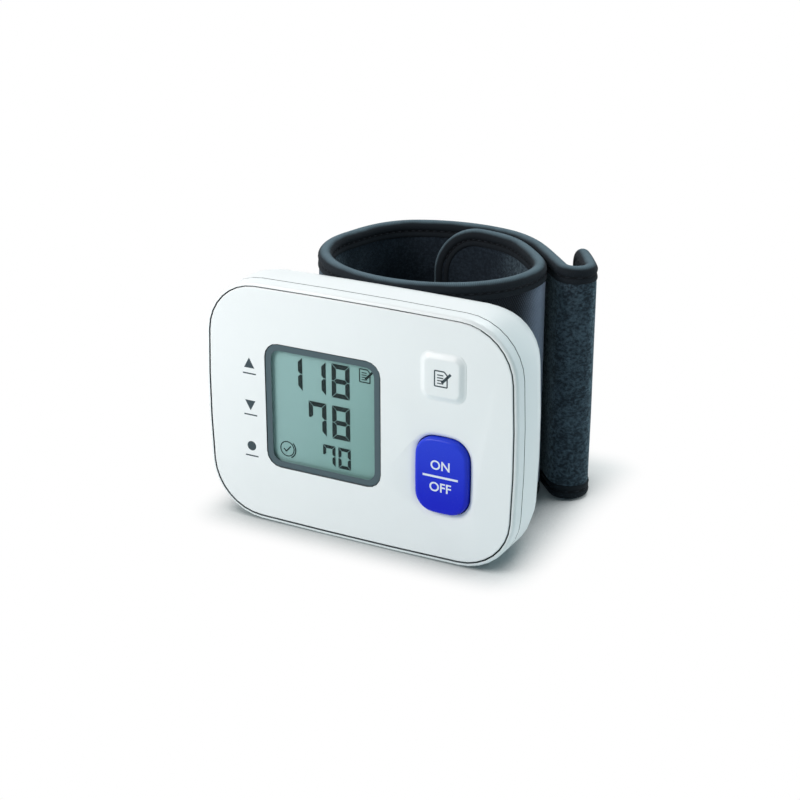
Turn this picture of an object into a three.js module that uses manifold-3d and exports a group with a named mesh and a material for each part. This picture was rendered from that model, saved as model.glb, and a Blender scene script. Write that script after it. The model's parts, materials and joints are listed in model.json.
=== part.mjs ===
// Wrist blood pressure monitor: a moulded case that stands on its long edge, with a soft cuff on its back.
// Millimetres. +X runs to the right of the display, +Y away from the viewer and +Z up.
// The face is the plane y = 0, and face heights are measured from the middle of the face.

import * as THREE from 'three';
import { mergeVertices } from 'three/addons/utils/BufferGeometryUtils.js';
import Module from 'manifold-3d';

const wasm = await Module();
wasm.setup();

// Case: outline, wall and the depths of its joints
const CASE_HALF_WIDTH = 43.3;
const CASE_HALF_HEIGHT = 32.25;
const CASE_CORNER = 15.1;
const CASE_TOP_ARC = 1587;
const CASE_SIDE_ARC = 314;
const CASE_DEPTH = 33;
const CASE_WALL = 1.8;
const CASE_EDGE_ROUND = 0.95;
const CASE_DRAFT = 0.12;
const SHOULDER_DEPTH = 10.6;
const BACK_INSET = 12.5;
const BACK_POWER = 1.5;
const PARTING_DEPTH = 3.7;
const PARTING_GAP = 0.3;
const STAND_FLAT = 0.15;
const FIT_GAP = 0.3;
const CUT_OVERRUN = 3;

// Front plate, its pocket in the front case, and the ledge behind it
const PLATE_INSET = 1.2;
const PLATE_SEAM = 0.3;
const PLATE_THICKNESS = 1.8;
const PLATE_EDGE_ROUND = 0.35;
const LEDGE_THICKNESS = 0.9;
const LEDGE_REACH = 3.3;
const RECESS_INSET = 1.5;
const LIP_WALL = 0.8;
const LIP_ROOT = 1.2;

// Display window
const WINDOW_X = -9.4;
const WINDOW_RISE = 0.4;
const WINDOW_HALF_WIDTH = 16.3;
const WINDOW_HALF_HEIGHT = 16.55;
const WINDOW_CORNER = 3.9;
const WINDOW_BORDER = 2;
const LENS_SET_BACK = 0.15;
const LENS_THICKNESS = 0.8;
const WINDOW_GAP = 0.25;
const FRAME_FLANGE = 1.5;
const FRAME_FLANGE_THICKNESS = 0.5;
const GLASS_MARGIN = 1.2;
const GLASS_THICKNESS = 2;
const GLASS_CORNER = 0.6;
const HOLDER_WALL = 1.3;
const STRIP_THICKNESS = 2;
const STRIP_INSET = 1;
const STRIP_LENGTH = 26;

// Buttons
const START_X = 23.5;
const START_DROP = 8.9;
const START_HALF_WIDTH = 7.1;
const START_HALF_HEIGHT = 9.8;
const START_CORNER = 4.9;
const START_TOP_ARC = 40.6;
const START_SIDE_ARC = 137;
const START_PROUD = 0.9;
const START_TRAVEL = 0.8;
const START_CROWN = 0.9;
const DISH_WIDTH = 1.3;
const DISH_DEPTH = 0.4;
const MEMORY_X = 23.6;
const MEMORY_RISE = 16.4;
const MEMORY_HALF_WIDTH = 5.6;
const MEMORY_HALF_HEIGHT = 5.75;
const MEMORY_CORNER = 2.6;
const MEMORY_PROUD = 0.7;
const MEMORY_CROWN = 0.8;
const BUTTON_GAP = 0.3;
const BUTTON_FLANGE = 1;
const BUTTON_FLANGE_THICKNESS = 0.8;
const BUTTON_STEM_RADIUS = 2.4;
const BUTTON_STEM_LENGTH = 0.5;

// Push switches on the main board
const SWITCH_HALF_WIDTH = 3;
const SWITCH_HEIGHT = 2.3;
const SWITCH_FLOOR = 0.4;
const PLUNGER_RADIUS = 1.5;
const PLUNGER_LENGTH = 1.5;

// Main board and what it carries
const BOARD_DEPTH = 7;
const BOARD_THICKNESS = 1.2;
const BOARD_LEFT_ROOM = 18;
const BOARD_RIGHT_ROOM = 6.3;
const BOARD_END_ROOM = 9.25;
const BOARD_CORNER = 1.5;
const BOARD_SCREW_X = 12.3;
const BOARD_SCREW_EDGE = 2.8;
const BOARD_BOSS_RADIUS = 2;
const CHIP_X = -14;
const CHIP_RISE = 12;
const CHIP_HALF = 4.5;
const CHIP_THICKNESS = 1.2;
const SENSOR_HALF = 3.5;
const SENSOR_THICKNESS = 4;
const SENSOR_EDGE = 4.6;
const SENSOR_NOZZLE_DEPTH = 2;

// Screws
const BOSS_RADIUS = 2.4;
const BOSS_LENGTH = 4.5;
const WELL_RADIUS = 3.2;
const WELL_FLOOR = 1.7;
const SCREW_HEAD_RADIUS = 2;
const SCREW_HEAD_HEIGHT = 1.4;
const SCREW_SHANK_RADIUS = 0.85;
const SCREW_CLEARANCE = 0.2;
const SCREW_BITE = 3.2;
const SCREW_SLOT_WIDTH = 0.6;
const SCREW_SLOT_DEPTH = 0.6;
const SCREW_SLOT_SHARE = 0.7;
const CORNER_SCREW_SIDE_INSET = 8.7;
const CORNER_SCREW_END_INSET = 8.85;
const SIDE_SCREW_SIDE_INSET = 26.3;
const SIDE_SCREW_END_INSET = 5.4;

// Battery bay
const CELL_RADIUS = 5.25;
const CELL_END_ROOM = 3.5;
const CELL_NUB_RADIUS = 1.9;
const CELL_NUB_LENGTH = 1.1;
const CELL_EDGE = 0.4;
const CELL_PLAY = 0.4;
const FRONT_CELL_INSET = 9.3;
const FRONT_CELL_DEPTH = 10.7;
const REAR_CELL_INSET = 14.3;
const REAR_CELL_DEPTH = 20.3;
const BAY_END_INSET = 8.25;
const BAY_WALL = 1.2;
const CONTACT_THICKNESS = 0.4;
const CONTACT_RADIUS = 3.6;
const SPRING_WIRE_RADIUS = 0.25;
const SPRING_WIDE_RADIUS = 3.2;
const SPRING_NARROW_RADIUS = 1.9;
const SPRING_TURNS = 1.5;
const COVER_GAP = 0.25;
const COVER_GRIP_DEPTH = 0.5;
const COVER_GRIP_WIDTH = 1.2;
const COVER_GRIP_PITCH = 2.6;
const COVER_GRIP_HALF_LENGTH = 7;
const COVER_GRIPS = 4;

// Pump and motor, upright in the right wing of the case
const MOTOR_INSET = 13.8;
const MOTOR_DEPTH = 17;
const MOTOR_RADIUS = 7.5;
const MOTOR_END_INSET = 12.75;
const PUMP_STACK_ROOM = 45.1;
const MOTOR_BELL_LENGTH = 2.5;
const MOTOR_BOSS_RADIUS = 2.6;
const MOTOR_BOSS_HEIGHT = 0.8;
const MOTOR_EDGE = 0.8;
const SHAFT_RADIUS = 0.75;
const SHAFT_CLEARANCE = 0.2;
const SHAFT_ABOVE = 4.2;
const TERMINAL_WIDTH = 1.6;
const TERMINAL_LENGTH = 2.2;
const TERMINAL_SPREAD = 4;
const ECCENTRIC_RADIUS = 3.6;
const ECCENTRIC_HEIGHT = 2.2;
const ECCENTRIC_THROW = 1.5;
const CRANK_PIN_RADIUS = 0.6;
const CRANK_PIN_HEIGHT = 1.4;
const PUMP_WALL = 1.1;
const PUMP_HEIGHT = 6.6;
const PUMP_LEDGE = 1.2;
const DIAPHRAGM_HEIGHT = 3.4;
const DIAPHRAGM_CUP_RADIUS = 1.7;
const DIAPHRAGM_CUPS = 3;
const DIAPHRAGM_RIM = 1;
const PUMP_COVER_HEIGHT = 2.4;
const CRADLE_THICKNESS = 1.6;
const CRADLE_RISE = 11;

// Air path
const NOZZLE_RADIUS = 1;
const NOZZLE_LENGTH = 2.6;
const HOSE_BORE = 1.3;
const HOSE_RADIUS = 1.8;
const HOSE_CLEAR = 0.3;
const MANIFOLD_HALF_WIDTH = 4;
const MANIFOLD_LOW = -4;
const MANIFOLD_HIGH = 8;
const MANIFOLD_AXIS = 10.4;
const PORT_RISE = 2;
const PORT_RADIUS = 2.1;
const PORT_BORE = 1.2;
const PORT_PLAY = 0.3;
const SEAL_WALL = 1.1;
const SEAL_HEIGHT = 1.2;
const VALVE_X = -15;
const VALVE_HALF_WIDTH = 3.8;
const VALVE_THICKNESS = 6.4;
const VALVE_END_INSET = 10.25;
const VALVE_LENGTH = 14;
const VALVE_WALL = 0.8;
const VALVE_PLUNGER_RADIUS = 1.5;
const VALVE_PLUNGER_LENGTH = 6.4;
const VALVE_STROKE = 0.6;
const VALVE_COIL_RADIUS = 2.7;
const VALVE_SPRING_RADIUS = 1.2;
const VALVE_SPRING_TURNS = 3;
const SPRING_CLEAR = 0.1;
const VALVE_WIRE_RADIUS = 0.2;
const RIVET_TOP_INSET = 7.9;
const RIVET_LOW_INSET = 12.1;
const RIVET_RADIUS = 1.2;
const RIVET_HEAD_RADIUS = 2.2;
const RIVET_TAIL = 1;

// Cuff: the oval that its base layer follows, seen from above, pressed flatter where the grip leaves it
const LOOP_X = -0.85;
const LOOP_FRONT_DEPTH = 18.25;
const LOOP_HALF_WIDTH = 28.6;
const LOOP_HALF_DEPTH = 24.2;
const FLAT_ANGLE = 38;
const FLAT_SPREAD = 36;
const FLAT_DEPTH = 1.6;
const CUFF_HEIGHT = 64;
const CUFF_THICKNESS = 3.7;
const LAP_GAP = 0.4;
const SADDLE_GAP = 0.3;
const JOINT_GAP = 0.4;

// Cuff: where its stretches begin and end, in degrees round the oval, falling as the cuff is followed
const INNER_END_ANGLE = 112;
const INNER_HINGE_ANGLE = -8;
const OUTER_HINGE_ANGLE = -180;
const CLIMB_START_ANGLE = -192;
const CLIMB_END_ANGLE = -238;
const FLAP_ANGLE = -326;
const HOOK_PATCH_START_ANGLE = -278;
const HOOK_PATCH_END_ANGLE = -320;

// Cuff: the curled grip at its outer end
const FLAP_RUN = 10.9;
const HOOK_RADIUS = 3.7;
const HOOK_TURN = 168;
const TAIL_LENGTH = 15.5;
const TAIL_TURN = 8;

// Cuff: edge binding and the layers between, as distances from the middle of the cuff's thickness
const BINDING_LEG = 1.25;
const SHEET_GAP = 0.3;
const COVER_FACE = 1.65;
const COVER_BACK = 0.95;
const CURLER_FACE = 0.65;
const CURLER_BACK = -0.05;
const BLADDER_FACE = -0.35;
const BLADDER_BACK = -0.85;
const LINING_FACE = -1.1;
const LINING_BACK = -1.65;
const STRAP_BACK = -1;
const HOOK_PATCH_FACE = -1.3;
const HOOK_PATCH_BACK = -1.75;
const HOOK_PATCH_MARGIN = 6;
const INNER_SHEET_MARGIN = 1.4;
const CURLER_END_MARGIN = 4;
const INNER_END_CORNER = 13;
const OUTER_END_CORNER = 5;

// Counts of facets
const TURN_STEPS = 20;
const SMALL_STEPS = 10;
const CORNER_STEPS = 8;
const EDGE_STEPS = 3;
const FILLET_STEPS = 4;
const TAPER_STEPS = 5;
const LOOP_SAMPLES = 720;
const CURL_SAMPLES = 40;
const ROOT_CUFF_STEPS = 20;
const INNER_CUFF_STEPS = 14;
const OUTER_CUFF_STEPS = 18;
const RUN_STEPS = 3;
const HOOK_STEPS = 9;
const TAIL_STEPS = 3;
const END_CORNER_STEPS = 6;
const BINDING_ROUND_STEPS = 5;
const HOSE_SIDES = 8;
const HOSE_BEND_STEPS = 16;
const SADDLE_STEPS = 56;
const COIL_SIDES = 5;
const COIL_STEPS = 8;

// Places that follow the case
const BOARD_LEFT = BOARD_LEFT_ROOM - CASE_HALF_WIDTH;
const BOARD_RIGHT = CASE_HALF_WIDTH - BOARD_RIGHT_ROOM;
const BOARD_HALF_HEIGHT = CASE_HALF_HEIGHT - BOARD_END_ROOM;
const BOARD_SCREW_RISE = BOARD_HALF_HEIGHT - BOARD_SCREW_EDGE;
const SENSOR_RISE = BOARD_HALF_HEIGHT - SENSOR_EDGE;
const CORNER_SCREW_X = CASE_HALF_WIDTH - CORNER_SCREW_SIDE_INSET;
const CORNER_SCREW_RISE = CASE_HALF_HEIGHT - CORNER_SCREW_END_INSET;
const SIDE_SCREW_X = SIDE_SCREW_SIDE_INSET - CASE_HALF_WIDTH;
const SIDE_SCREW_RISE = CASE_HALF_HEIGHT - SIDE_SCREW_END_INSET;
const FRONT_CELL_X = FRONT_CELL_INSET - CASE_HALF_WIDTH;
const REAR_CELL_X = REAR_CELL_INSET - CASE_HALF_WIDTH;
const BAY_HALF_HEIGHT = CASE_HALF_HEIGHT - BAY_END_INSET;
const CELL_LENGTH = 2 * BAY_HALF_HEIGHT - CELL_END_ROOM;
const MOTOR_X = CASE_HALF_WIDTH - MOTOR_INSET;
const MOTOR_LOW = MOTOR_END_INSET - CASE_HALF_HEIGHT;
const MOTOR_CAN_LENGTH = 2 * CASE_HALF_HEIGHT - PUMP_STACK_ROOM;
const VALVE_HIGH = VALVE_END_INSET + VALVE_LENGTH - CASE_HALF_HEIGHT;

const FACE_HEIGHT = CASE_HALF_HEIGHT - STAND_FLAT;
const LOOP_DEPTH = LOOP_FRONT_DEPTH + LOOP_HALF_DEPTH;
const HALF_THICKNESS = CUFF_THICKNESS / 2;
const BINDING_CREST = HALF_THICKNESS * Math.cos(Math.PI / 2 / BINDING_ROUND_STEPS);
const BINDING_HEIGHT = BINDING_LEG + BINDING_CREST;
const SHEET_EDGE = BINDING_HEIGHT + SHEET_GAP;
const BOARD_BACK = BOARD_DEPTH + BOARD_THICKNESS;
const MANIFOLD_FRONT = BOARD_BACK + FIT_GAP;
const PORT_X = LOOP_X;

// Solids

function toSolid(geometry) {
  const bare = geometry.clone();
  bare.deleteAttribute('normal');
  bare.deleteAttribute('uv');
  const merged = mergeVertices(bare);
  const vertProperties = new Float32Array(merged.attributes.position.array);
  const triVerts = new Uint32Array(merged.index.array);
  return new wasm.Manifold(new wasm.Mesh({ numProp: 3, vertProperties, triVerts }));
}

function toGeometry(solid) {
  const mesh = solid.getMesh();
  const geometry = new THREE.BufferGeometry();
  geometry.setAttribute('position', new THREE.BufferAttribute(mesh.vertProperties, 3));
  geometry.setIndex(new THREE.BufferAttribute(mesh.triVerts, 1));
  return geometry;
}

function join(solid, ...others) {
  return others.reduce((sum, other) => sum.add(other), solid);
}

function cut(solid, ...others) {
  return others.reduce((rest, other) => rest.subtract(other), solid);
}

// Outlines: lists of points that run anticlockwise

function arcPoints(x, y, radius, from, to, steps) {
  const points = [];
  for (let step = 0; step < steps; step += 1) {
    const angle = THREE.MathUtils.lerp(from, to, step / steps);
    points.push(new THREE.Vector2(x + radius * Math.cos(angle), y + radius * Math.sin(angle)));
  }
  return points;
}

// Four long arcs joined by four corner arcs that run on from them without a kink.
function bulgedOutline(size, inset) {
  const { halfWidth, halfHeight, corner, topArc, sideArc } = size;
  const topRadius = topArc - inset;
  const sideRadius = sideArc - inset;
  const cornerRadius = corner - inset;
  const topCentre = halfHeight - topArc;
  const sideCentre = halfWidth - sideArc;
  const topReach = topArc - corner;
  const sideReach = sideArc - corner;
  const span = Math.hypot(topCentre, sideCentre);
  const along = (topReach ** 2 - sideReach ** 2 + span ** 2) / (2 * span);
  const across = Math.sqrt(topReach ** 2 - along ** 2);
  const unit = new THREE.Vector2(sideCentre, -topCentre).divideScalar(span);
  const cornerX = unit.x * along + unit.y * across;
  const cornerY = topCentre + unit.y * along - unit.x * across;
  const topAngle = Math.atan2(cornerY - topCentre, cornerX);
  const sideAngle = Math.atan2(cornerY, cornerX - sideCentre);
  const half = Math.PI;
  const whole = 2 * Math.PI;
  return [
    ...arcPoints(sideCentre, 0, sideRadius, -sideAngle, sideAngle, EDGE_STEPS),
    ...arcPoints(cornerX, cornerY, cornerRadius, sideAngle, topAngle, CORNER_STEPS),
    ...arcPoints(0, topCentre, topRadius, topAngle, half - topAngle, EDGE_STEPS),
    ...arcPoints(-cornerX, cornerY, cornerRadius, half - topAngle, half - sideAngle, CORNER_STEPS),
    ...arcPoints(-sideCentre, 0, sideRadius, half - sideAngle, half + sideAngle, EDGE_STEPS),
    ...arcPoints(-cornerX, -cornerY, cornerRadius, half + sideAngle, half + topAngle, CORNER_STEPS),
    ...arcPoints(0, -topCentre, topRadius, half + topAngle, whole - topAngle, EDGE_STEPS),
    ...arcPoints(cornerX, -cornerY, cornerRadius, whole - topAngle, whole - sideAngle, CORNER_STEPS),
  ];
}

function roundedOutline(halfWidth, halfHeight, corner) {
  const points = [];
  const corners = [[1, 1], [-1, 1], [-1, -1], [1, -1]];
  corners.forEach(([sideX, sideY], index) => {
    const x = sideX * (halfWidth - corner);
    const y = sideY * (halfHeight - corner);
    const from = (index * Math.PI) / 2;
    points.push(...arcPoints(x, y, corner, from, from + Math.PI / 2, FILLET_STEPS));
    points.push(new THREE.Vector2(x + corner * Math.cos(from + Math.PI / 2), y + corner * Math.sin(from + Math.PI / 2)));
  });
  return points;
}

function moved(points, x, y) {
  return points.map((point) => new THREE.Vector2(point.x + x, point.y + y));
}

const CASE_SIZE = {
  halfWidth: CASE_HALF_WIDTH,
  halfHeight: CASE_HALF_HEIGHT,
  corner: CASE_CORNER,
  topArc: CASE_TOP_ARC,
  sideArc: CASE_SIDE_ARC,
};

const START_SIZE = {
  halfWidth: START_HALF_WIDTH,
  halfHeight: START_HALF_HEIGHT,
  corner: START_CORNER,
  topArc: START_TOP_ARC,
  sideArc: START_SIDE_ARC,
};

// Shapes from outlines

// A closed skin through equal loops of points, capped at both ends, with its faces turned outwards.
function skin(sections, capOutline) {
  const count = sections[0].length;
  const position = [];
  sections.forEach((section) => section.forEach((point) => position.push(point.x, point.y, point.z)));
  const triangles = [];
  for (let row = 0; row < sections.length - 1; row += 1) {
    for (let column = 0; column < count; column += 1) {
      const here = row * count + column;
      const next = row * count + ((column + 1) % count);
      triangles.push([here, here + count, next], [next, here + count, next + count]);
    }
  }
  const lastRow = (sections.length - 1) * count;
  THREE.ShapeUtils.triangulateShape(capOutline, []).forEach(([a, b, c]) => {
    triangles.push([a, b, c], [lastRow + c, lastRow + b, lastRow + a]);
  });
  const corner = (index) => new THREE.Vector3().fromArray(position, index * 3);
  const volume = triangles.reduce((sum, [a, b, c]) => sum + corner(a).dot(corner(b).cross(corner(c))), 0);
  const turned = volume < 0 ? triangles.map(([a, b, c]) => [a, c, b]) : triangles;
  const geometry = new THREE.BufferGeometry();
  geometry.setAttribute('position', new THREE.Float32BufferAttribute(position, 3));
  geometry.setIndex(turned.flat());
  return geometry;
}

// Rings of face points at growing depths, as { points, depth }.
function loft(rings) {
  const sections = rings.map(({ points, depth }) => (
    points.map((point) => new THREE.Vector3(point.x, depth, FACE_HEIGHT + point.y))
  ));
  return toSolid(skin(sections, rings[0].points));
}

function prism(points, front, back) {
  return loft([{ points, depth: front }, { points, depth: back }]);
}

// A plan outline raised from one height to another.
function column(points, low, high) {
  const options = { depth: high - low, bevelEnabled: false };
  const geometry = new THREE.ExtrudeGeometry(new THREE.Shape(points), options);
  geometry.translate(0, 0, low);
  return toSolid(geometry);
}

// A round bar that runs away from the viewer.
function bar(x, rise, radius, front, back, steps = TURN_STEPS) {
  const geometry = new THREE.CylinderGeometry(radius, radius, back - front, steps);
  geometry.translate(x, (front + back) / 2, FACE_HEIGHT + rise);
  return toSolid(geometry);
}

// A round bar that stands upright.
function post(x, depth, radius, low, high, steps = TURN_STEPS) {
  const geometry = new THREE.CylinderGeometry(radius, radius, high - low, steps);
  geometry.rotateX(Math.PI / 2);
  geometry.translate(x, depth, FACE_HEIGHT + (low + high) / 2);
  return toSolid(geometry);
}

function block(left, right, front, back, low, high) {
  const geometry = new THREE.BoxGeometry(right - left, back - front, high - low);
  geometry.translate((left + right) / 2, (front + back) / 2, FACE_HEIGHT + (low + high) / 2);
  return toSolid(geometry);
}

// An upright turned piece, from a profile of [radius, height] pairs that starts and ends on its axis.
function turned(profile, x, depth, steps = TURN_STEPS) {
  const points = profile.map(([radius, height]) => new THREE.Vector2(radius, height));
  const geometry = new THREE.LatheGeometry(points, steps);
  geometry.rotateX(Math.PI / 2);
  geometry.translate(x, depth, FACE_HEIGHT);
  return toSolid(geometry);
}

// A wire or solid rod along a curve.
function wire(curve, radius, sides, steps) {
  const section = new THREE.Shape(arcPoints(0, 0, radius, 0, 2 * Math.PI, sides));
  return toSolid(new THREE.ExtrudeGeometry(section, { steps, extrudePath: curve, bevelEnabled: false }));
}

// A hose along a curve, with its bore open at both ends.
function hose(points, steps) {
  const section = new THREE.Shape(arcPoints(0, 0, HOSE_RADIUS, 0, 2 * Math.PI, HOSE_SIDES));
  section.holes.push(new THREE.Path(arcPoints(0, 0, HOSE_BORE, 0, 2 * Math.PI, HOSE_SIDES)));
  const curve = new THREE.CatmullRomCurve3(points.map(([x, depth, rise]) => (
    new THREE.Vector3(x, depth, FACE_HEIGHT + rise)
  )));
  return toSolid(new THREE.ExtrudeGeometry(section, { steps, extrudePath: curve, bevelEnabled: false }));
}

// How far the oval is pressed inwards at an angle.
function flattening(angle) {
  const from = angle - THREE.MathUtils.degToRad(FLAT_ANGLE);
  const away = Math.abs(Math.atan2(Math.sin(from), Math.cos(from)));
  return FLAT_DEPTH * THREE.MathUtils.smoothstep(1 - away / THREE.MathUtils.degToRad(FLAT_SPREAD), 0, 1);
}

function loopAt(angle, offset) {
  const cos = Math.cos(angle);
  const sin = Math.sin(angle);
  const normal = new THREE.Vector2(LOOP_HALF_DEPTH * cos, LOOP_HALF_WIDTH * sin).normalize();
  const distance = offset - flattening(angle);
  return new THREE.Vector2(
    LOOP_X + LOOP_HALF_WIDTH * cos + distance * normal.x,
    LOOP_DEPTH + LOOP_HALF_DEPTH * sin + distance * normal.y,
  );
}

// The hollow that the cuff lies in: the loop's outer face and a distance outside it.
function saddle(distance) {
  const points = [];
  for (let step = 0; step < SADDLE_STEPS; step += 1) {
    const angle = (2 * Math.PI * step) / SADDLE_STEPS;
    points.push(loopAt(angle, HALF_THICKNESS + distance));
  }
  return column(points, -CUT_OVERRUN, CUFF_HEIGHT + 2 * CUT_OVERRUN);
}

const belowFloor = block(
  -2 * CASE_HALF_WIDTH, 2 * CASE_HALF_WIDTH, -CUT_OVERRUN, 2 * CASE_DEPTH,
  -2 * CASE_HALF_HEIGHT, -FACE_HEIGHT,
);

// Case pieces

function fillet(radius, frontInset, frontDepth, outline) {
  const rings = [];
  for (let step = 0; step <= FILLET_STEPS; step += 1) {
    const angle = (Math.PI / 2) * (step / FILLET_STEPS);
    const inset = frontInset - radius * Math.sin(angle);
    const depth = frontDepth + radius * (1 - Math.cos(angle));
    rings.push({ points: outline(inset), depth });
  }
  return rings;
}

const caseOutline = (inset) => bulgedOutline(CASE_SIZE, inset);
const startOutline = (inset) => moved(bulgedOutline(START_SIZE, inset), START_X, -START_DROP);
const memoryOutline = (inset) => moved(
  roundedOutline(MEMORY_HALF_WIDTH - inset, MEMORY_HALF_HEIGHT - inset, MEMORY_CORNER - inset),
  MEMORY_X,
  MEMORY_RISE,
);
const windowOutline = (inset, corner = WINDOW_CORNER - inset) => moved(
  roundedOutline(WINDOW_HALF_WIDTH - inset, WINDOW_HALF_HEIGHT - inset, corner),
  WINDOW_X,
  WINDOW_RISE,
);

const SCREW_PLACES = [
  { name: 'right_top', x: CORNER_SCREW_X, rise: CORNER_SCREW_RISE },
  { name: 'right_bottom', x: CORNER_SCREW_X, rise: -CORNER_SCREW_RISE },
  { name: 'left_top', x: SIDE_SCREW_X, rise: SIDE_SCREW_RISE },
  { name: 'left_bottom', x: SIDE_SCREW_X, rise: -SIDE_SCREW_RISE },
];
const BOARD_SCREW_PLACES = [
  { name: 'top', x: BOARD_SCREW_X, rise: BOARD_SCREW_RISE },
  { name: 'bottom', x: BOARD_SCREW_X, rise: -BOARD_SCREW_RISE },
];

const LEDGE_FRONT = PLATE_THICKNESS + FIT_GAP;
const LEDGE_BACK = LEDGE_FRONT + LEDGE_THICKNESS;
const PARTING_FRONT = PARTING_DEPTH - PARTING_GAP / 2;
const PARTING_BACK = PARTING_DEPTH + PARTING_GAP / 2;
const BOSS_BACK = LEDGE_BACK + BOSS_LENGTH;
const WELL_FRONT = BOSS_BACK + FIT_GAP;
const WELL_SEAT = WELL_FRONT + WELL_FLOOR;
const HEAD_FRONT = WELL_SEAT + FIT_GAP;

function frontPlate() {
  const rings = fillet(PLATE_EDGE_ROUND, PLATE_INSET + PLATE_SEAM / 2 + PLATE_EDGE_ROUND, 0, caseOutline);
  rings.push({ points: caseOutline(PLATE_INSET + PLATE_SEAM / 2), depth: PLATE_THICKNESS });
  const dish = loft([
    { points: startOutline(-BUTTON_GAP - DISH_WIDTH - DISH_DEPTH), depth: -DISH_DEPTH },
    { points: startOutline(-BUTTON_GAP - DISH_WIDTH), depth: 0 },
    { points: startOutline(-BUTTON_GAP), depth: DISH_DEPTH },
  ]);
  const behind = PLATE_THICKNESS + CUT_OVERRUN;
  const bosses = BOARD_SCREW_PLACES.map(({ x, rise }) => cut(
    bar(x, rise, BOARD_BOSS_RADIUS, PLATE_THICKNESS / 2, BOARD_DEPTH - FIT_GAP),
    bar(x, rise, SCREW_SHANK_RADIUS + SCREW_CLEARANCE, PLATE_THICKNESS, BOARD_DEPTH, SMALL_STEPS),
  ));
  return join(
    cut(
      loft(rings),
      dish,
      prism(windowOutline(0), -CUT_OVERRUN, behind),
      prism(startOutline(-BUTTON_GAP), -CUT_OVERRUN, behind),
      prism(memoryOutline(-BUTTON_GAP), -CUT_OVERRUN, behind),
    ),
    ...bosses,
  );
}

function frontCase() {
  const rings = fillet(CASE_EDGE_ROUND, CASE_EDGE_ROUND + CASE_DRAFT, 0, caseOutline);
  rings.push({ points: caseOutline(CASE_DRAFT / 2), depth: PARTING_FRONT });
  const pocket = prism(caseOutline(PLATE_INSET - PLATE_SEAM / 2), -CUT_OVERRUN, LEDGE_FRONT);
  const mouth = prism(caseOutline(LEDGE_REACH), 0, PARTING_DEPTH);
  const recess = prism(caseOutline(RECESS_INSET), LEDGE_BACK, PARTING_DEPTH);
  const shell = cut(loft(rings), pocket, mouth, recess, belowFloor);
  const bosses = SCREW_PLACES.map(({ x, rise }) => (
    bar(x, rise, BOSS_RADIUS, LEDGE_FRONT + LEDGE_THICKNESS / 2, BOSS_BACK)
  ));
  const pilots = SCREW_PLACES.map(({ x, rise }) => (
    bar(x, rise, SCREW_SHANK_RADIUS + SCREW_CLEARANCE, LEDGE_BACK, BOSS_BACK + CUT_OVERRUN, SMALL_STEPS)
  ));
  return cut(join(shell, ...bosses), ...pilots);
}

// How far the rear case has drawn in at a depth.
function rearInset(depth) {
  const share = Math.max(0, (depth - SHOULDER_DEPTH) / (CASE_DEPTH - SHOULDER_DEPTH));
  return BACK_INSET * share ** BACK_POWER;
}

function rearRings(front, back, inset) {
  const rings = [
    { points: caseOutline(inset + CASE_DRAFT / 2), depth: front },
    { points: caseOutline(inset), depth: SHOULDER_DEPTH },
  ];
  for (let step = 1; step <= TAPER_STEPS; step += 1) {
    const depth = THREE.MathUtils.lerp(SHOULDER_DEPTH, back, step / TAPER_STEPS);
    rings.push({ points: caseOutline(inset + rearInset(depth)), depth });
  }
  return rings;
}

const rearSolid = cut(loft(rearRings(PARTING_BACK, CASE_DEPTH, 0)), saddle(SADDLE_GAP), belowFloor);
const rearCavity = cut(
  loft(rearRings(PARTING_BACK - CUT_OVERRUN, CASE_DEPTH - CASE_WALL, CASE_WALL)),
  saddle(SADDLE_GAP + CASE_WALL),
);
const rearShell = cut(rearSolid, rearCavity);

// The plan of the battery bay, open to the left: straight, round the front cell, round the rear cell.
function bayPlan(radius, back = REAR_CELL_DEPTH + radius) {
  const lean = Math.atan2(REAR_CELL_DEPTH - FRONT_CELL_DEPTH, REAR_CELL_X - FRONT_CELL_X) - Math.PI / 2;
  const left = -CASE_HALF_WIDTH - CUT_OVERRUN;
  return [
    new THREE.Vector2(left, FRONT_CELL_DEPTH - radius),
    ...arcPoints(FRONT_CELL_X, FRONT_CELL_DEPTH, radius, -Math.PI / 2, lean, FILLET_STEPS),
    ...arcPoints(REAR_CELL_X, REAR_CELL_DEPTH, radius, lean, Math.PI / 2, SMALL_STEPS),
    new THREE.Vector2(REAR_CELL_X, back),
    new THREE.Vector2(left, back),
  ];
}

function upright(points, halfHeight) {
  return column(points, FACE_HEIGHT - halfHeight, FACE_HEIGHT + halfHeight);
}

const BAY_RADIUS = CELL_RADIUS + CELL_PLAY;
const BAY_FRONT = FRONT_CELL_DEPTH - BAY_RADIUS;
const BAY_BACK = REAR_CELL_DEPTH + BAY_RADIUS;
const PORT_WALL_DEPTH = loopAt(-Math.PI / 2, HALF_THICKNESS + SADDLE_GAP + CASE_WALL).y;
const RIVET_RISES = [CUFF_HEIGHT - FACE_HEIGHT - RIVET_TOP_INSET, RIVET_LOW_INSET - FACE_HEIGHT];

function lip() {
  const front = LEDGE_BACK + FIT_GAP;
  const outer = RECESS_INSET + FIT_GAP;
  const inner = outer + LIP_WALL;
  const ring = prism(caseOutline(outer), front, PARTING_BACK + LIP_ROOT);
  const root = prism(caseOutline(RECESS_INSET), PARTING_BACK, PARTING_BACK + LIP_ROOT);
  return cut(join(ring, root), prism(caseOutline(inner), 0, PARTING_BACK + LIP_ROOT + CUT_OVERRUN));
}

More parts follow.
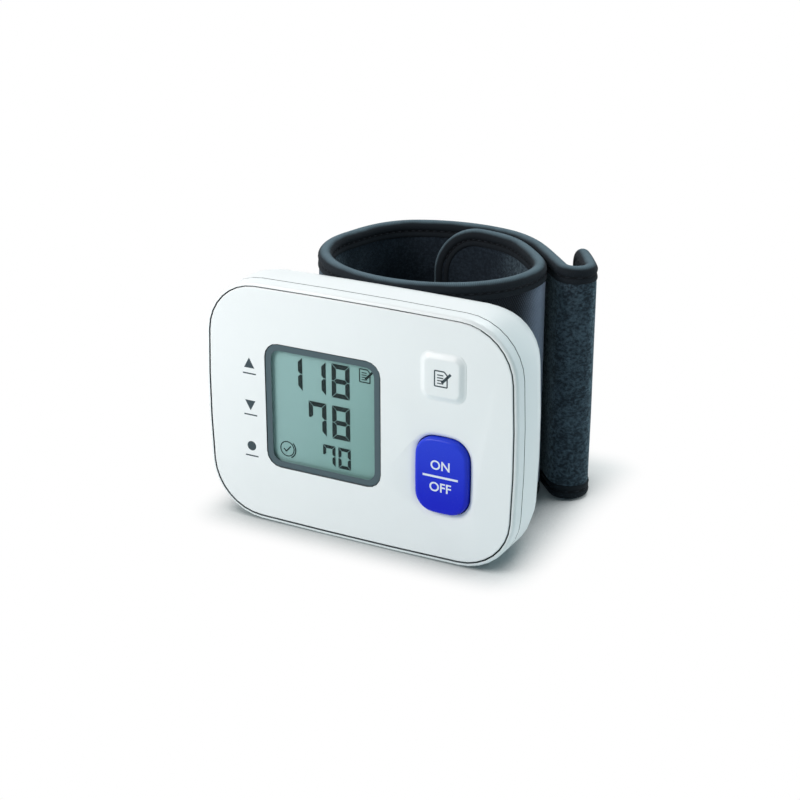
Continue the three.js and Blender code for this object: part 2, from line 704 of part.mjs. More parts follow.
// Two ribs that hold the motor and the pump from behind.
function cradle() {
  const ribs = [CRADLE_RISE, -CRADLE_RISE].map((rise) => block(
    MOTOR_X - MOTOR_RADIUS, CASE_HALF_WIDTH, MOTOR_DEPTH, CASE_DEPTH,
    rise - CRADLE_THICKNESS / 2, rise + CRADLE_THICKNESS / 2,
  ));
  const room = post(MOTOR_X, MOTOR_DEPTH, MOTOR_RADIUS + FIT_GAP, -CASE_HALF_HEIGHT, CASE_HALF_HEIGHT);
  return cut(join(...ribs), room).intersect(rearSolid);
}

function rearCase() {
  const wells = SCREW_PLACES.map(({ x, rise }) => (
    bar(x, rise, WELL_RADIUS, WELL_FRONT, CASE_DEPTH).intersect(rearSolid)
  ));
  const wellBores = SCREW_PLACES.map(({ x, rise }) => join(
    bar(x, rise, SCREW_HEAD_RADIUS + FIT_GAP, WELL_SEAT, CASE_DEPTH + CUT_OVERRUN),
    bar(x, rise, SCREW_SHANK_RADIUS + SCREW_CLEARANCE, PARTING_BACK, WELL_SEAT + CUT_OVERRUN, SMALL_STEPS),
  ));
  const bayOutside = bayPlan(BAY_RADIUS + BAY_WALL, CASE_DEPTH);
  const bay = upright(bayOutside, BAY_HALF_HEIGHT + BAY_WALL).intersect(rearSolid);
  const portHole = bar(PORT_X, PORT_RISE, PORT_RADIUS + PORT_PLAY, MANIFOLD_FRONT, LOOP_FRONT_DEPTH);
  const rivetHoles = RIVET_RISES.map((rise) => (
    bar(PORT_X, rise, RIVET_RADIUS + SCREW_CLEARANCE, MANIFOLD_FRONT, LOOP_FRONT_DEPTH, SMALL_STEPS)
  ));
  return cut(
    join(rearShell, lip(), ...wells, bay, cradle()),
    upright(bayPlan(BAY_RADIUS), BAY_HALF_HEIGHT),
    ...wellBores,
    portHole,
    ...rivetHoles,
    belowFloor,
  );
}

function batteryCover() {
  const halfHeight = BAY_HALF_HEIGHT - COVER_GAP;
  const region = block(
    -CASE_HALF_WIDTH - CUT_OVERRUN, REAR_CELL_X,
    BAY_FRONT + COVER_GAP, BAY_BACK - COVER_GAP,
    -halfHeight, halfHeight,
  );
  const grips = [];
  for (let index = 0; index < COVER_GRIPS; index += 1) {
    const depth = SHOULDER_DEPTH + (index - (COVER_GRIPS - 1) / 2) * COVER_GRIP_PITCH;
    const face = CASE_HALF_WIDTH - rearInset(depth);
    grips.push(block(
      -face - CUT_OVERRUN, -face + COVER_GRIP_DEPTH,
      depth - COVER_GRIP_WIDTH / 2, depth + COVER_GRIP_WIDTH / 2,
      -COVER_GRIP_HALF_LENGTH, COVER_GRIP_HALF_LENGTH,
    ));
  }
  return cut(rearShell.intersect(region), ...grips);
}

// A pan-head screw that points towards the viewer, with a cross slot in its head.
function screw(x, rise, headFront, tip) {
  const headBack = headFront + SCREW_HEAD_HEIGHT;
  const slotFront = headBack - SCREW_SLOT_DEPTH;
  const halfSlot = SCREW_SLOT_WIDTH / 2;
  const reach = SCREW_HEAD_RADIUS * SCREW_SLOT_SHARE;
  return cut(
    join(
      bar(x, rise, SCREW_HEAD_RADIUS, headFront, headBack),
      bar(x, rise, SCREW_SHANK_RADIUS, tip, headFront + SCREW_HEAD_HEIGHT / 2, SMALL_STEPS),
    ),
    block(x - reach, x + reach, slotFront, headBack + CUT_OVERRUN, rise - halfSlot, rise + halfSlot),
    block(x - halfSlot, x + halfSlot, slotFront, headBack + CUT_OVERRUN, rise - reach, rise + reach),
  );
}

// Window, display and board

const FRAME_COLLAR_FRONT = LENS_SET_BACK + LENS_THICKNESS + FIT_GAP;
const FRAME_FLANGE_FRONT = PLATE_THICKNESS + FIT_GAP;
const FRAME_BACK = FRAME_FLANGE_FRONT + FRAME_FLANGE_THICKNESS;
const GLASS_FRONT = FRAME_BACK + FIT_GAP;
const GLASS_BACK = GLASS_FRONT + GLASS_THICKNESS;
const HOLDER_BACK = BOARD_DEPTH - FIT_GAP;
const STRIP_FRONT = GLASS_BACK + FIT_GAP;
const GLASS_INSET = WINDOW_BORDER - GLASS_MARGIN;

function windowFrame() {
  const collar = prism(windowOutline(WINDOW_GAP), FRAME_COLLAR_FRONT, FRAME_BACK);
  const flange = prism(windowOutline(-FRAME_FLANGE, WINDOW_CORNER), FRAME_FLANGE_FRONT, FRAME_BACK);
  const view = prism(windowOutline(WINDOW_BORDER), 0, FRAME_BACK + CUT_OVERRUN);
  return cut(join(collar, flange), view);
}

function stripPlace(side) {
  const rise = WINDOW_RISE + side * (WINDOW_HALF_HEIGHT - GLASS_INSET - STRIP_INSET - STRIP_THICKNESS / 2);
  return { low: rise - STRIP_THICKNESS / 2, high: rise + STRIP_THICKNESS / 2 };
}

function connectorStrip(side, clearance) {
  const { low, high } = stripPlace(side);
  const half = STRIP_LENGTH / 2 + clearance;
  return block(
    WINDOW_X - half, WINDOW_X + half, STRIP_FRONT - clearance, HOLDER_BACK + clearance,
    low - clearance, high + clearance,
  );
}

function displayHolder() {
  const outside = prism(windowOutline(GLASS_INSET - FIT_GAP - HOLDER_WALL, GLASS_CORNER + HOLDER_WALL),
    GLASS_FRONT, HOLDER_BACK);
  const pocket = prism(windowOutline(GLASS_INSET - FIT_GAP, GLASS_CORNER), 0, GLASS_BACK + FIT_GAP);
  return cut(outside, pocket, connectorStrip(1, FIT_GAP), connectorStrip(-1, FIT_GAP));
}

function mainBoard() {
  const halfWidth = (BOARD_RIGHT - BOARD_LEFT) / 2;
  const outline = moved(
    roundedOutline(halfWidth, BOARD_HALF_HEIGHT, BOARD_CORNER),
    BOARD_LEFT + halfWidth,
    0,
  );
  const notches = SCREW_PLACES.slice(0, 2).map(({ x, rise }) => (
    bar(x, rise, WELL_RADIUS + FIT_GAP, 0, CASE_DEPTH)
  ));
  const holes = BOARD_SCREW_PLACES.map(({ x, rise }) => (
    bar(x, rise, SCREW_SHANK_RADIUS + SCREW_CLEARANCE, 0, CASE_DEPTH, SMALL_STEPS)
  ));
  return cut(prism(outline, BOARD_DEPTH, BOARD_BACK), ...notches, ...holes);
}

// Buttons and their switches

const FLANGE_FRONT = PLATE_THICKNESS + FIT_GAP;
const FLANGE_BACK = FLANGE_FRONT + BUTTON_FLANGE_THICKNESS;
const STEM_BACK = FLANGE_BACK + BUTTON_STEM_LENGTH;
const PLUNGER_FRONT = STEM_BACK + FIT_GAP;
const SWITCH_BACK = BOARD_DEPTH - FIT_GAP;
const SWITCH_FRONT = SWITCH_BACK - SWITCH_HEIGHT;

function buttonCap(outline, x, rise, proud, crown) {
  const rings = fillet(crown, crown, -proud, outline);
  rings.push({ points: outline(0), depth: FLANGE_BACK });
  return join(
    loft(rings),
    prism(outline(-BUTTON_FLANGE), FLANGE_FRONT, FLANGE_BACK),
    bar(x, rise, BUTTON_STEM_RADIUS, FLANGE_FRONT, STEM_BACK),
  );
}

function switchPlunger(x, rise) {
  return bar(x, rise, PLUNGER_RADIUS, PLUNGER_FRONT, PLUNGER_FRONT + PLUNGER_LENGTH);
}

function switchBody(x, rise) {
  return cut(
    block(
      x - SWITCH_HALF_WIDTH, x + SWITCH_HALF_WIDTH, SWITCH_FRONT, SWITCH_BACK,
      rise - SWITCH_HALF_WIDTH, rise + SWITCH_HALF_WIDTH,
    ),
    bar(x, rise, PLUNGER_RADIUS + FIT_GAP, 0, SWITCH_BACK - SWITCH_FLOOR),
  );
}

// Cells and contacts

const CELL_TOP = BAY_HALF_HEIGHT - 2 * FIT_GAP - CONTACT_THICKNESS;
const CELL_BOTTOM = CELL_TOP - CELL_LENGTH;

// A cell with its nub up (side 1) or down (side -1).
function cell(x, depth, side) {
  const shoulder = CELL_TOP - CELL_NUB_LENGTH;
  const profile = [
    [0, CELL_BOTTOM],
    [CELL_RADIUS - CELL_EDGE, CELL_BOTTOM],
    [CELL_RADIUS, CELL_BOTTOM + CELL_EDGE],
    [CELL_RADIUS, shoulder - CELL_EDGE],
    [CELL_RADIUS - CELL_EDGE, shoulder],
    [CELL_NUB_RADIUS, shoulder],
    [CELL_NUB_RADIUS, CELL_TOP],
    [0, CELL_TOP],
  ];
  const ordered = side > 0 ? profile : profile.map(([radius, height]) => [radius, -height]).reverse();
  return turned(ordered, x, depth);
}

function contactPlate(x, depth, low) {
  return post(x, depth, CONTACT_RADIUS, low, low + CONTACT_THICKNESS, SMALL_STEPS);
}

class ConeCoil extends THREE.Curve {
  constructor(centre, wideRadius, narrowRadius, turns, rise) {
    super();
    Object.assign(this, { centre, wideRadius, narrowRadius, turns, rise });
  }

  getPoint(share) {
    const angle = 2 * Math.PI * this.turns * share;
    const radius = THREE.MathUtils.lerp(this.wideRadius, this.narrowRadius, share);
    return new THREE.Vector3(radius * Math.cos(angle), radius * Math.sin(angle), this.rise * share).add(this.centre);
  }
}

// The flat spring of a minus contact, wound on its plate; direction 1 rises from it and -1 hangs from it.
function contactSpring(x, depth, plateFace, direction) {
  const reach = BAY_HALF_HEIGHT - FIT_GAP - CONTACT_THICKNESS + CELL_BOTTOM - FIT_GAP - 2 * SPRING_WIRE_RADIUS;
  const centre = new THREE.Vector3(x, depth, FACE_HEIGHT + plateFace);
  const coil = new ConeCoil(centre, SPRING_WIDE_RADIUS, SPRING_NARROW_RADIUS, SPRING_TURNS, direction * reach);
  return wire(coil, SPRING_WIRE_RADIUS, COIL_SIDES, SPRING_TURNS * COIL_STEPS);
}

function linkContact() {
  const low = BAY_HALF_HEIGHT - FIT_GAP - CONTACT_THICKNESS;
  return join(
    contactPlate(FRONT_CELL_X, FRONT_CELL_DEPTH, low),
    contactPlate(REAR_CELL_X, REAR_CELL_DEPTH, low),
    block(FRONT_CELL_X, REAR_CELL_X, FRONT_CELL_DEPTH, REAR_CELL_DEPTH, low, low + CONTACT_THICKNESS),
    contactSpring(REAR_CELL_X, REAR_CELL_DEPTH, low, -1),
  );
}

function minusContact() {
  const low = -BAY_HALF_HEIGHT + FIT_GAP;
  return join(
    contactPlate(FRONT_CELL_X, FRONT_CELL_DEPTH, low),
    contactSpring(FRONT_CELL_X, FRONT_CELL_DEPTH, low + CONTACT_THICKNESS, 1),
  );
}

function plusContact() {
  return contactPlate(REAR_CELL_X, REAR_CELL_DEPTH, -BAY_HALF_HEIGHT + FIT_GAP);
}

// Motor and pump

const BELL_HIGH = MOTOR_LOW + MOTOR_BELL_LENGTH;
const CAN_LOW = BELL_HIGH + FIT_GAP;
const CAN_HIGH = CAN_LOW + MOTOR_CAN_LENGTH;
const PUMP_LOW = CAN_HIGH + MOTOR_BOSS_HEIGHT + FIT_GAP;
const ECCENTRIC_LOW = PUMP_LOW + PUMP_LEDGE + FIT_GAP;
const ECCENTRIC_HIGH = ECCENTRIC_LOW + ECCENTRIC_HEIGHT;
const PUMP_HIGH = PUMP_LOW + PUMP_HEIGHT;
const DIAPHRAGM_LOW = PUMP_HIGH + FIT_GAP;
const DIAPHRAGM_HIGH = DIAPHRAGM_LOW + DIAPHRAGM_HEIGHT;
const PUMP_COVER_LOW = DIAPHRAGM_HIGH + FIT_GAP;
const PUMP_COVER_HIGH = PUMP_COVER_LOW + PUMP_COVER_HEIGHT;
const SHAFT_BORE = SHAFT_RADIUS + SHAFT_CLEARANCE;

function motorBell() {
  const terminals = [-1, 1].map((side) => block(
    MOTOR_X - TERMINAL_WIDTH / 2, MOTOR_X + TERMINAL_WIDTH / 2,
    MOTOR_DEPTH + side * TERMINAL_SPREAD - CONTACT_THICKNESS / 2,
    MOTOR_DEPTH + side * TERMINAL_SPREAD + CONTACT_THICKNESS / 2,
    MOTOR_LOW - TERMINAL_LENGTH, BELL_HIGH - MOTOR_EDGE,
  ));
  return cut(
    join(
      turned([
        [0, MOTOR_LOW],
        [MOTOR_RADIUS - MOTOR_EDGE, MOTOR_LOW],
        [MOTOR_RADIUS, MOTOR_LOW + MOTOR_EDGE],
        [MOTOR_RADIUS, BELL_HIGH],
        [0, BELL_HIGH],
      ], MOTOR_X, MOTOR_DEPTH),
      ...terminals,
    ),
    post(MOTOR_X, MOTOR_DEPTH, SHAFT_BORE, MOTOR_LOW + MOTOR_EDGE, BELL_HIGH + CUT_OVERRUN, SMALL_STEPS),
  );
}

function motorCan() {
  return cut(
    turned([
      [0, CAN_LOW],
      [MOTOR_RADIUS, CAN_LOW],
      [MOTOR_RADIUS, CAN_HIGH - MOTOR_EDGE],
      [MOTOR_RADIUS - MOTOR_EDGE, CAN_HIGH],
      [MOTOR_BOSS_RADIUS, CAN_HIGH],
      [MOTOR_BOSS_RADIUS, CAN_HIGH + MOTOR_BOSS_HEIGHT],
      [0, CAN_HIGH + MOTOR_BOSS_HEIGHT],
    ], MOTOR_X, MOTOR_DEPTH),
    post(MOTOR_X, MOTOR_DEPTH, SHAFT_BORE, CAN_LOW - CUT_OVERRUN, PUMP_HIGH, SMALL_STEPS),
  );
}

function motorShaft() {
  const top = ECCENTRIC_LOW + ECCENTRIC_HEIGHT - FIT_GAP;
  return post(MOTOR_X, MOTOR_DEPTH, SHAFT_RADIUS, MOTOR_LOW + MOTOR_EDGE + FIT_GAP, top, SMALL_STEPS);
}

function eccentric() {
  return join(
    cut(
      post(MOTOR_X, MOTOR_DEPTH, ECCENTRIC_RADIUS, ECCENTRIC_LOW, ECCENTRIC_HIGH),
      post(MOTOR_X, MOTOR_DEPTH, SHAFT_BORE, ECCENTRIC_LOW - CUT_OVERRUN, ECCENTRIC_HIGH, SMALL_STEPS),
    ),
    post(
      MOTOR_X + ECCENTRIC_THROW, MOTOR_DEPTH, CRANK_PIN_RADIUS,
      ECCENTRIC_HIGH - CRANK_PIN_HEIGHT / 2, ECCENTRIC_HIGH + CRANK_PIN_HEIGHT, SMALL_STEPS,
    ),
  );
}

function pumpHousing() {
  return cut(
    post(MOTOR_X, MOTOR_DEPTH, MOTOR_RADIUS, PUMP_LOW, PUMP_HIGH),
    post(MOTOR_X, MOTOR_DEPTH, MOTOR_RADIUS - PUMP_WALL, PUMP_LOW + PUMP_LEDGE, PUMP_HIGH + CUT_OVERRUN),
    post(MOTOR_X, MOTOR_DEPTH, SHAFT_BORE + FIT_GAP, PUMP_LOW - CUT_OVERRUN, PUMP_HIGH, SMALL_STEPS),
  );
}

// Three rubber cups on a rim, with a round recess below them that the crank pin runs in.
function diaphragmBlock() {
  const rim = post(MOTOR_X, MOTOR_DEPTH, MOTOR_RADIUS, DIAPHRAGM_LOW, DIAPHRAGM_LOW + DIAPHRAGM_RIM);
  const hub = post(MOTOR_X, MOTOR_DEPTH, ECCENTRIC_RADIUS, DIAPHRAGM_LOW, DIAPHRAGM_HIGH);
  const cups = [];
  for (let index = 0; index < DIAPHRAGM_CUPS; index += 1) {
    const angle = (2 * Math.PI * index) / DIAPHRAGM_CUPS;
    const reach = MOTOR_RADIUS - PUMP_WALL - DIAPHRAGM_CUP_RADIUS;
    const x = MOTOR_X + reach * Math.cos(angle);
    const depth = MOTOR_DEPTH + reach * Math.sin(angle);
    cups.push(post(x, depth, DIAPHRAGM_CUP_RADIUS, DIAPHRAGM_LOW, DIAPHRAGM_HIGH));
  }
  const orbit = ECCENTRIC_THROW + CRANK_PIN_RADIUS + FIT_GAP;
  return cut(
    join(rim, hub, ...cups),
    post(MOTOR_X, MOTOR_DEPTH, orbit, DIAPHRAGM_LOW - CUT_OVERRUN, DIAPHRAGM_LOW + DIAPHRAGM_RIM),
  );
}

function pumpCover() {
  return turned([
    [0, PUMP_COVER_LOW],
    [MOTOR_RADIUS, PUMP_COVER_LOW],
    [MOTOR_RADIUS, PUMP_COVER_HIGH - MOTOR_EDGE],
    [MOTOR_RADIUS - MOTOR_EDGE, PUMP_COVER_HIGH],
    [NOZZLE_RADIUS, PUMP_COVER_HIGH],
    [NOZZLE_RADIUS, PUMP_COVER_HIGH + NOZZLE_LENGTH],
    [0, PUMP_COVER_HIGH + NOZZLE_LENGTH],
  ], MOTOR_X, MOTOR_DEPTH);
}

// Air path

const VALVE_LOW = VALVE_HIGH - VALVE_LENGTH;
const VALVE_FRONT = BOARD_BACK + FIT_GAP;
const VALVE_BACK = VALVE_FRONT + VALVE_THICKNESS;
const VALVE_AXIS = VALVE_FRONT + VALVE_THICKNESS / 2;
const VALVE_PLUNGER_HIGH = VALVE_HIGH - VALVE_WALL - FIT_GAP;
const VALVE_PLUNGER_LOW = VALVE_PLUNGER_HIGH - VALVE_PLUNGER_LENGTH;
const PORT_FRONT = PORT_WALL_DEPTH - SEAL_HEIGHT - 2 * FIT_GAP;
const MANIFOLD_BACK = PORT_FRONT - FIT_GAP;
const SIDE_NOZZLE_REACH = MANIFOLD_HALF_WIDTH + NOZZLE_LENGTH;

function airManifold() {
  return join(
    block(
      PORT_X - MANIFOLD_HALF_WIDTH, PORT_X + MANIFOLD_HALF_WIDTH, MANIFOLD_FRONT, MANIFOLD_BACK,
      MANIFOLD_LOW, MANIFOLD_HIGH,
    ),
    post(PORT_X, MANIFOLD_AXIS, NOZZLE_RADIUS, MANIFOLD_HIGH - NOZZLE_LENGTH, MANIFOLD_HIGH + NOZZLE_LENGTH, SMALL_STEPS),
    wire(
      new THREE.LineCurve3(
        new THREE.Vector3(PORT_X - SIDE_NOZZLE_REACH, MANIFOLD_AXIS, FACE_HEIGHT + PORT_RISE),
        new THREE.Vector3(PORT_X + SIDE_NOZZLE_REACH, MANIFOLD_AXIS, FACE_HEIGHT + PORT_RISE),
      ),
      NOZZLE_RADIUS, SMALL_STEPS, 1,
    ),
  );
}

function airPort() {
  const back = loopAt(-Math.PI / 2, CURLER_BACK).y;
  return cut(
    bar(PORT_X, PORT_RISE, PORT_RADIUS, PORT_FRONT, back),
    bar(PORT_X, PORT_RISE, PORT_BORE, PORT_FRONT - CUT_OVERRUN, back + CUT_OVERRUN, SMALL_STEPS),
  );
}

function portSeal() {
  const back = PORT_WALL_DEPTH - FIT_GAP;
  return cut(
    bar(PORT_X, PORT_RISE, PORT_RADIUS + PORT_PLAY + SEAL_WALL, back - SEAL_HEIGHT, back),
    bar(PORT_X, PORT_RISE, PORT_RADIUS + PORT_PLAY, 0, CASE_DEPTH),
  );
}

function rivet(rise) {
  const headFront = loopAt(-Math.PI / 2, COVER_BACK - FIT_GAP).y;
  const headBack = loopAt(-Math.PI / 2, CURLER_BACK).y;
  return join(
    bar(PORT_X, rise, RIVET_HEAD_RADIUS, headFront, headBack),
    bar(PORT_X, rise, RIVET_RADIUS, PORT_WALL_DEPTH - RIVET_TAIL, headBack, SMALL_STEPS),
  );
}

function pressureSensor() {
  const front = BOARD_BACK + FIT_GAP;
  const axis = front + SENSOR_NOZZLE_DEPTH;
  const low = SENSOR_RISE - SENSOR_HALF;
  return join(
    block(
      PORT_X - SENSOR_HALF, PORT_X + SENSOR_HALF, front, front + SENSOR_THICKNESS,
      low, SENSOR_RISE + SENSOR_HALF,
    ),
    post(PORT_X, axis, NOZZLE_RADIUS, low - NOZZLE_LENGTH, SENSOR_RISE, SMALL_STEPS),
  );
}

function sensorHose() {
  const axis = BOARD_BACK + FIT_GAP + SENSOR_NOZZLE_DEPTH;
  const low = MANIFOLD_HIGH + HOSE_CLEAR;
  const high = SENSOR_RISE - SENSOR_HALF - HOSE_CLEAR;
  return hose([
    [PORT_X, MANIFOLD_AXIS, low],
    [PORT_X, MANIFOLD_AXIS, low + NOZZLE_LENGTH / 2],
    [PORT_X, axis, high - NOZZLE_LENGTH / 2],
    [PORT_X, axis, high],
  ], HOSE_BEND_STEPS / 2);
}

// From the valve's nozzle up and over to the left nozzle of the manifold.
function valveHose() {
  const end = PORT_X - MANIFOLD_HALF_WIDTH - HOSE_CLEAR;
  const low = VALVE_HIGH + HOSE_CLEAR;
  return hose([
    [VALVE_X, VALVE_AXIS, low],
    [VALVE_X, VALVE_AXIS, low + NOZZLE_LENGTH],
    [(VALVE_X + end - NOZZLE_LENGTH) / 2, MANIFOLD_AXIS, PORT_RISE - NOZZLE_RADIUS],
    [end - NOZZLE_LENGTH, MANIFOLD_AXIS, PORT_RISE],
    [end, MANIFOLD_AXIS, PORT_RISE],
  ], HOSE_BEND_STEPS);
}

const PUMP_HOSE_SHARES = [
  { across: 0.1, down: -0.34, forward: 0.1 },
  { across: 0.36, down: -0.3, forward: 0.45 },
  { across: 0.6, down: 0.05, forward: 0.8 },
  { across: 0.7, down: 0.6, forward: 1 },
  { across: 0.82, down: 0.95, forward: 1 },
];

// From the pump's nozzle up and over to the side nozzle of the manifold.
function pumpHose() {
  const start = { x: MOTOR_X, depth: MOTOR_DEPTH, rise: PUMP_COVER_HIGH + HOSE_CLEAR };
  const end = {
    x: PORT_X + MANIFOLD_HALF_WIDTH + HOSE_CLEAR,
    depth: MANIFOLD_AXIS,
    rise: PORT_RISE,
  };
  const between = PUMP_HOSE_SHARES.map(({ across, down, forward }) => [
    THREE.MathUtils.lerp(start.x, end.x, across),
    THREE.MathUtils.lerp(start.depth, end.depth, forward),
    THREE.MathUtils.lerp(start.rise, end.rise, down),
  ]);
  return hose([
    [start.x, start.depth, start.rise],
    [start.x, start.depth, start.rise + NOZZLE_LENGTH / 2],
    [start.x, start.depth, start.rise + NOZZLE_LENGTH],
    ...between,
    [end.x + NOZZLE_LENGTH, end.depth, end.rise],
    [end.x + NOZZLE_LENGTH / 2, end.depth, end.rise],
    [end.x, end.depth, end.rise],
  ], HOSE_BEND_STEPS);
}

// Exhaust valve: an iron frame round a coil, with a sprung plunger that closes the nozzle

function valveFrame() {
  return join(
    cut(
      block(
        VALVE_X - VALVE_HALF_WIDTH, VALVE_X + VALVE_HALF_WIDTH, VALVE_FRONT, VALVE_BACK,
        VALVE_LOW, VALVE_HIGH,
      ),
      block(
        VALVE_X - VALVE_HALF_WIDTH + VALVE_WALL, VALVE_X + VALVE_HALF_WIDTH - VALVE_WALL,
        VALVE_FRONT - CUT_OVERRUN, VALVE_BACK + CUT_OVERRUN,
        VALVE_LOW + VALVE_WALL, VALVE_HIGH - VALVE_WALL,
      ),
    ),
    post(VALVE_X, VALVE_AXIS, NOZZLE_RADIUS, VALVE_HIGH - VALVE_WALL, VALVE_HIGH + NOZZLE_LENGTH, SMALL_STEPS),
  );
}

function valveCoil() {
  const low = VALVE_LOW + VALVE_WALL + FIT_GAP;
  return cut(
    post(VALVE_X, VALVE_AXIS, VALVE_COIL_RADIUS, low, VALVE_PLUNGER_HIGH - VALVE_STROKE - VALVE_WALL),
    post(VALVE_X, VALVE_AXIS, VALVE_PLUNGER_RADIUS + FIT_GAP, low + VALVE_WALL, VALVE_HIGH),
  );
}

function valvePlunger() {
  return post(VALVE_X, VALVE_AXIS, VALVE_PLUNGER_RADIUS, VALVE_PLUNGER_LOW, VALVE_PLUNGER_HIGH);
}

// The spring fills the bore of the coil below the plunger, and ends short of the plunger's lowest place.
function valveSpring() {
  const low = VALVE_LOW + 2 * VALVE_WALL + 2 * FIT_GAP + VALVE_WIRE_RADIUS;
  const centre = new THREE.Vector3(VALVE_X, VALVE_AXIS, FACE_HEIGHT + low);
  const height = VALVE_PLUNGER_LOW - VALVE_STROKE - SPRING_CLEAR - VALVE_WIRE_RADIUS - low;
  const coil = new ConeCoil(centre, VALVE_SPRING_RADIUS, VALVE_SPRING_RADIUS, VALVE_SPRING_TURNS, height);
  return wire(coil, VALVE_WIRE_RADIUS, COIL_SIDES, VALVE_SPRING_TURNS * COIL_STEPS);
}

// Cuff route: round the oval, climbing on to the inner end, then out into the curled grip

function climbOffset(angle) {
  const start = THREE.MathUtils.degToRad(CLIMB_START_ANGLE);
  const end = THREE.MathUtils.degToRad(CLIMB_END_ANGLE);
  const lap = CUFF_THICKNESS + LAP_GAP;
  return lap * THREE.MathUtils.smoothstep((start - angle) / (start - end), 0, 1);
}

function cuffRoute() {
  const points = [];
  const first = THREE.MathUtils.degToRad(INNER_END_ANGLE);
  const last = THREE.MathUtils.degToRad(FLAP_ANGLE);
  for (let step = 0; step <= LOOP_SAMPLES; step += 1) {
    const angle = THREE.MathUtils.lerp(first, last, step / LOOP_SAMPLES);
    points.push({ angle, place: loopAt(angle, climbOffset(angle)) });
  }
  const place = points[points.length - 1].place.clone();
  const before = points[points.length - 2].place;
  let heading = Math.atan2(place.y - before.y, place.x - before.x);
  const curls = [
    { length: FLAP_RUN, turn: 0 },
    { length: HOOK_RADIUS * THREE.MathUtils.degToRad(HOOK_TURN), turn: THREE.MathUtils.degToRad(HOOK_TURN) },
    { length: TAIL_LENGTH, turn: THREE.MathUtils.degToRad(TAIL_TURN) },
  ];
  curls.forEach(({ length, turn }) => {
    for (let step = 0; step < CURL_SAMPLES; step += 1) {
      heading += turn / CURL_SAMPLES / 2;
      const advance = length / CURL_SAMPLES;
      place.x += advance * Math.cos(heading);
      place.y += advance * Math.sin(heading);
      heading += turn / CURL_SAMPLES / 2;
      points.push({ angle: last, place: place.clone() });
    }
  });
  let along = 0;
  points.forEach((point, index) => {
    if (index > 0) along += point.place.distanceTo(points[index - 1].place);
    point.along = along;
  });
  return points;
}

const route = cuffRoute();
const ROUTE_LENGTH = route[route.length - 1].along;

function alongAt(degrees) {
  const angle = THREE.MathUtils.degToRad(degrees);
  return route.find((point) => point.angle <= angle).along;
}

// A point on the cuff: a distance along it, a distance outwards from its middle layer, and a height.
function onCuff(along, offset, height) {
  const found = route.findIndex((point) => point.along > along);
  const index = found < 0 ? route.length - 1 : Math.max(1, found);
  const a = route[index - 1];
  const b = route[index];
  const share = (along - a.along) / (b.along - a.along);
  const before = route[Math.max(0, index - 2)].place;
  const after = route[Math.min(route.length - 1, index + 1)].place;
  const direction = after.clone().sub(before).normalize();
  const middle = a.place.clone().lerp(b.place, share);
  return new THREE.Vector3(middle.x - direction.y * offset, middle.y + direction.x * offset, height);
}

const INNER_HINGE = alongAt(INNER_HINGE_ANGLE);
const OUTER_HINGE = alongAt(OUTER_HINGE_ANGLE);

function evenStations(from, to, steps) {
  const stations = [];
  for (let step = 0; step <= steps; step += 1) {
    stations.push({ along: THREE.MathUtils.lerp(from, to, step / steps), drop: 0 });
  }
  return stations;
}

// The outer end has its own count of steps for the lap, the straight run, the hook and the tail.
function outerStations(from, to) {
  const runStart = alongAt(FLAP_ANGLE);
  const hookStart = runStart + FLAP_RUN;
  const hookEnd = hookStart + HOOK_RADIUS * THREE.MathUtils.degToRad(HOOK_TURN);
  return [
    ...evenStations(from, runStart, OUTER_CUFF_STEPS),
    ...evenStations(runStart, hookStart, RUN_STEPS).slice(1),
    ...evenStations(hookStart, hookEnd, HOOK_STEPS).slice(1),
    ...evenStations(hookEnd, to, TAIL_STEPS).slice(1),
  ];
}

// Stations round the two corners of a free end; direction is 1 where the end lies further along.
function endStations(end, corner, direction) {
  const stations = [];
  for (let step = 1; step <= END_CORNER_STEPS; step += 1) {
    const angle = (Math.PI / 2) * (step / END_CORNER_STEPS);
    const along = end - direction * corner * (1 - Math.sin(angle));
    stations.push({ along, drop: corner * (1 - Math.cos(angle)) });
  }
  return stations;
}

// A layer of the cuff between two faces, with its lower and upper edge drawn in by the margin.
function sheet(stations, back, face, margin) {
  const outline = [
    new THREE.Vector2(0, 0),
    new THREE.Vector2(1, 0),
    new THREE.Vector2(1, 1),
    new THREE.Vector2(0, 1),
  ];
  const sections = stations.map(({ along, drop }) => {
    const low = margin + drop;
    const high = CUFF_HEIGHT - margin - drop;
    return [
      onCuff(along, back, low),
      onCuff(along, face, low),
      onCuff(along, face, high),
      onCuff(along, back, high),
    ];
  });
  return toSolid(skin(sections, outline));
}

// The binding's section: flat where it meets the cloth, round outside. x is across, y outwards.
function bindingSection() {
  const points = [
    new THREE.Vector2(-HALF_THICKNESS, 0),
    new THREE.Vector2(HALF_THICKNESS, 0),
  ];
  points.push(...arcPoints(0, BINDING_LEG, HALF_THICKNESS, 0, Math.PI, BINDING_ROUND_STEPS));
  points.push(new THREE.Vector2(-HALF_THICKNESS, BINDING_LEG));
  return points;
}

// Binding along a line on the cuff: each place has the direction in the cuff's face that is outwards.
function binding(places) {
  const section = bindingSection();
  const sections = places.map(({ along, height, outAlong, outUp }) => section.map((point) => (
    onCuff(along + outAlong * point.y, point.x, height + outUp * point.y)
  )));
  return toSolid(skin(sections, section));
}

function edgePlaces(stations, up) {
  const height = up > 0 ? CUFF_HEIGHT - BINDING_HEIGHT : BINDING_HEIGHT;
  return stations.map(({ along }) => ({ along, height, outAlong: 0, outUp: up }));
}

